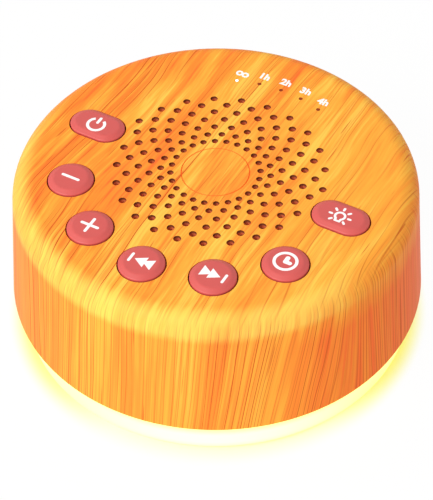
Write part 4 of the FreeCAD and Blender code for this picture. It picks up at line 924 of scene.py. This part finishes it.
class SOUND_MACHINE_OT_speaker(bpy.types.Operator):
    """Finishes the speaker"""
    bl_idname = "sound_machine.speaker"
    bl_label = "Speaker"

    def execute(self, context):
        dress(woven("grille_cloth", tone(40, 36, 36), tone(8, 7, 7), 0.42), "grille_cloth")
        dress(moulded("gasket_foam", tone(38, 38, 40), 0.9, grain=0.35, variation=0.25, bump=0.6),
              "speaker_gasket")
        dress(moulded("frame_paint", tone(30, 30, 32), 0.4, variation=0.08), "speaker_frame")
        dress(metal("zinc_plate", tone(186, 180, 150), 0.38, drawn=2.0, variation=0.2),
              "speaker_pole_plate", "speaker_yoke", "speaker_washers")
        dress(moulded("ferrite", tone(62, 62, 66), 0.6, grain=0.5, variation=0.2, bump=0.3),
              "speaker_magnet")
        dress(woven("spider_cloth", tone(196, 158, 86), tone(120, 86, 38), 0.5), "speaker_spider")
        dress(moulded("cone_paper", tone(52, 50, 50), 0.85, grain=0.8, variation=0.3, bump=0.5),
              "speaker_cone", "dust_cap")
        dress(moulded("surround_foam", tone(28, 28, 30), 0.7, grain=0.4, variation=0.15, bump=0.3),
              "speaker_surround")
        material, tree, shader = new_material("coil_copper", 0.3)
        _, _, up = parts_of(tree, millimetres(tree))
        wire_pitch = 0.18
        winding_length = 4.6
        turns = calc(tree, "SINE", calc(tree, "MULTIPLY", up, math.pi / wire_pitch))
        turns = calc(tree, "ABSOLUTE", turns)
        wound = calc(tree, "LESS_THAN", up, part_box("voice_coil")[0].z / MM + winding_length)
        winding = tint(tree, turns, tone(120, 52, 26), tone(214, 128, 78))
        tree.links.new(tint(tree, wound, tone(202, 170, 120), winding), shader.inputs["Base Color"])
        tree.links.new(wound, shader.inputs["Metallic"])
        give_bump(tree, shader, turns, 0.3, 0.05 * MM)
        dress(material, "voice_coil")
        return {"FINISHED"}


class SOUND_MACHINE_OT_electronics(bpy.types.Operator):
    """Finishes the boards, their parts, the socket and the wires"""
    bl_idname = "sound_machine.electronics"
    bl_label = "Boards and wires"

    def execute(self, context):
        for name, mask_tone, trace_tone, nodes in (
                ("green_board", tone(30, 104, 62), tone(52, 142, 84), ("key_board", "main_board")),
                ("white_board", tone(226, 228, 226), tone(206, 210, 208), ("light_board",))):
            material, tree, shader = new_material(name, 0.3)
            place = millimetres(tree)
            cells = add_node(tree, "ShaderNodeTexVoronoi", {"Vector": place, "Scale": 0.45},
                             feature="DISTANCE_TO_EDGE", distance="EUCLIDEAN")
            trace = calc(tree, "LESS_THAN", cells.outputs["Distance"], 0.06)
            haze = cloud(tree, place, scale=0.3, detail=2.0)
            body = tint(tree, rises(tree, haze, 0.3, 0.7, 0.0, 0.25), mask_tone, trace_tone)
            tree.links.new(tint(tree, trace, body, trace_tone), shader.inputs["Base Color"])
            give_bump(tree, shader, trace, 0.4, 0.03 * MM)
            dress(material, *nodes)
        dress(moulded("black_plastic", tone(30, 30, 31), 0.45, variation=0.1), "push_switches",
              "sound_chip", "amplifier_chip", "speaker_terminals", "socket_tongue")
        dress(moulded("led_white", tone(236, 232, 220), 0.3, variation=0.03), "timer_leds")
        dress(moulded("led_warm", tone(240, 206, 92), 0.3, variation=0.05), "night_leds")
        dress(moulded("capacitor_sleeve", tone(40, 46, 84), 0.3, variation=0.06), "capacitor")
        dress(metal("socket_steel", tone(188, 188, 192), 0.3, drawn=3.0, variation=0.12),
              "power_socket")
        dress(moulded("wire_cover", tone(160, 34, 30), 0.4, variation=0.05), "speaker_wires",
              "light_wires")
        dress(moulded("cable_cover", tone(196, 196, 198), 0.45, variation=0.05), "key_cable")
        return {"FINISHED"}


class SOUND_MACHINE_OT_studio(bpy.types.Operator):
    """Sets up the floor, the lights and the camera"""
    bl_idname = "sound_machine.studio"
    bl_label = "Studio"

    def execute(self, context):
        settings = context.scene.sound_machine_studio
        add_floor(settings)
        add_sky(settings)
        add_lamp("key_light", 0.7, settings.key_power, KEY_LIGHT_AT)
        add_lamp("side_light", 0.3, settings.side_power, SIDE_LIGHT_AT)
        add_camera(settings)
        context.scene.view_settings.view_transform = "Standard"
        return {"FINISHED"}


class SOUND_MACHINE_PT_panel(bpy.types.Panel):
    bl_idname = "SOUND_MACHINE_PT_panel"
    bl_label = "Sound machine"
    bl_space_type = "VIEW_3D"
    bl_region_type = "UI"
    bl_category = "Sound machine"

    def draw(self, context):
        for group, _ in SETTINGS:
            settings = getattr(context.scene, group)
            box = self.layout.box()
            for name in settings.__annotations__:
                box.prop(settings, name)
        for operator in OPERATORS:
            self.layout.operator(operator.bl_idname)


SETTINGS = (
    ("sound_machine_wood", WoodSettings),
    ("sound_machine_keys", KeySettings),
    ("sound_machine_timer", TimerSettings),
    ("sound_machine_base", BaseSettings),
    ("sound_machine_studio", StudioSettings),
)
OPERATORS = (
    SOUND_MACHINE_OT_housing,
    SOUND_MACHINE_OT_keys,
    SOUND_MACHINE_OT_timer_marks,
    SOUND_MACHINE_OT_base,
    SOUND_MACHINE_OT_speaker,
    SOUND_MACHINE_OT_electronics,
    SOUND_MACHINE_OT_studio,
)
CLASSES = tuple(group for _, group in SETTINGS) + OPERATORS + (SOUND_MACHINE_PT_panel,)


def register():
    for item in CLASSES:
        bpy.utils.register_class(item)
    for name, group in SETTINGS:
        setattr(bpy.types.Scene, name, PointerProperty(type=group))


def unregister():
    for name, _ in SETTINGS:
        delattr(bpy.types.Scene, name)
    for item in reversed(CLASSES):
        bpy.utils.unregister_class(item)


def main():
    register()
    make_moulded()
    make_metal()
    make_weave()
    for operator in OPERATORS:
        group, name = operator.bl_idname.split(".")
        getattr(getattr(bpy.ops, group), name)()


if __name__ == "__main__":
    main()
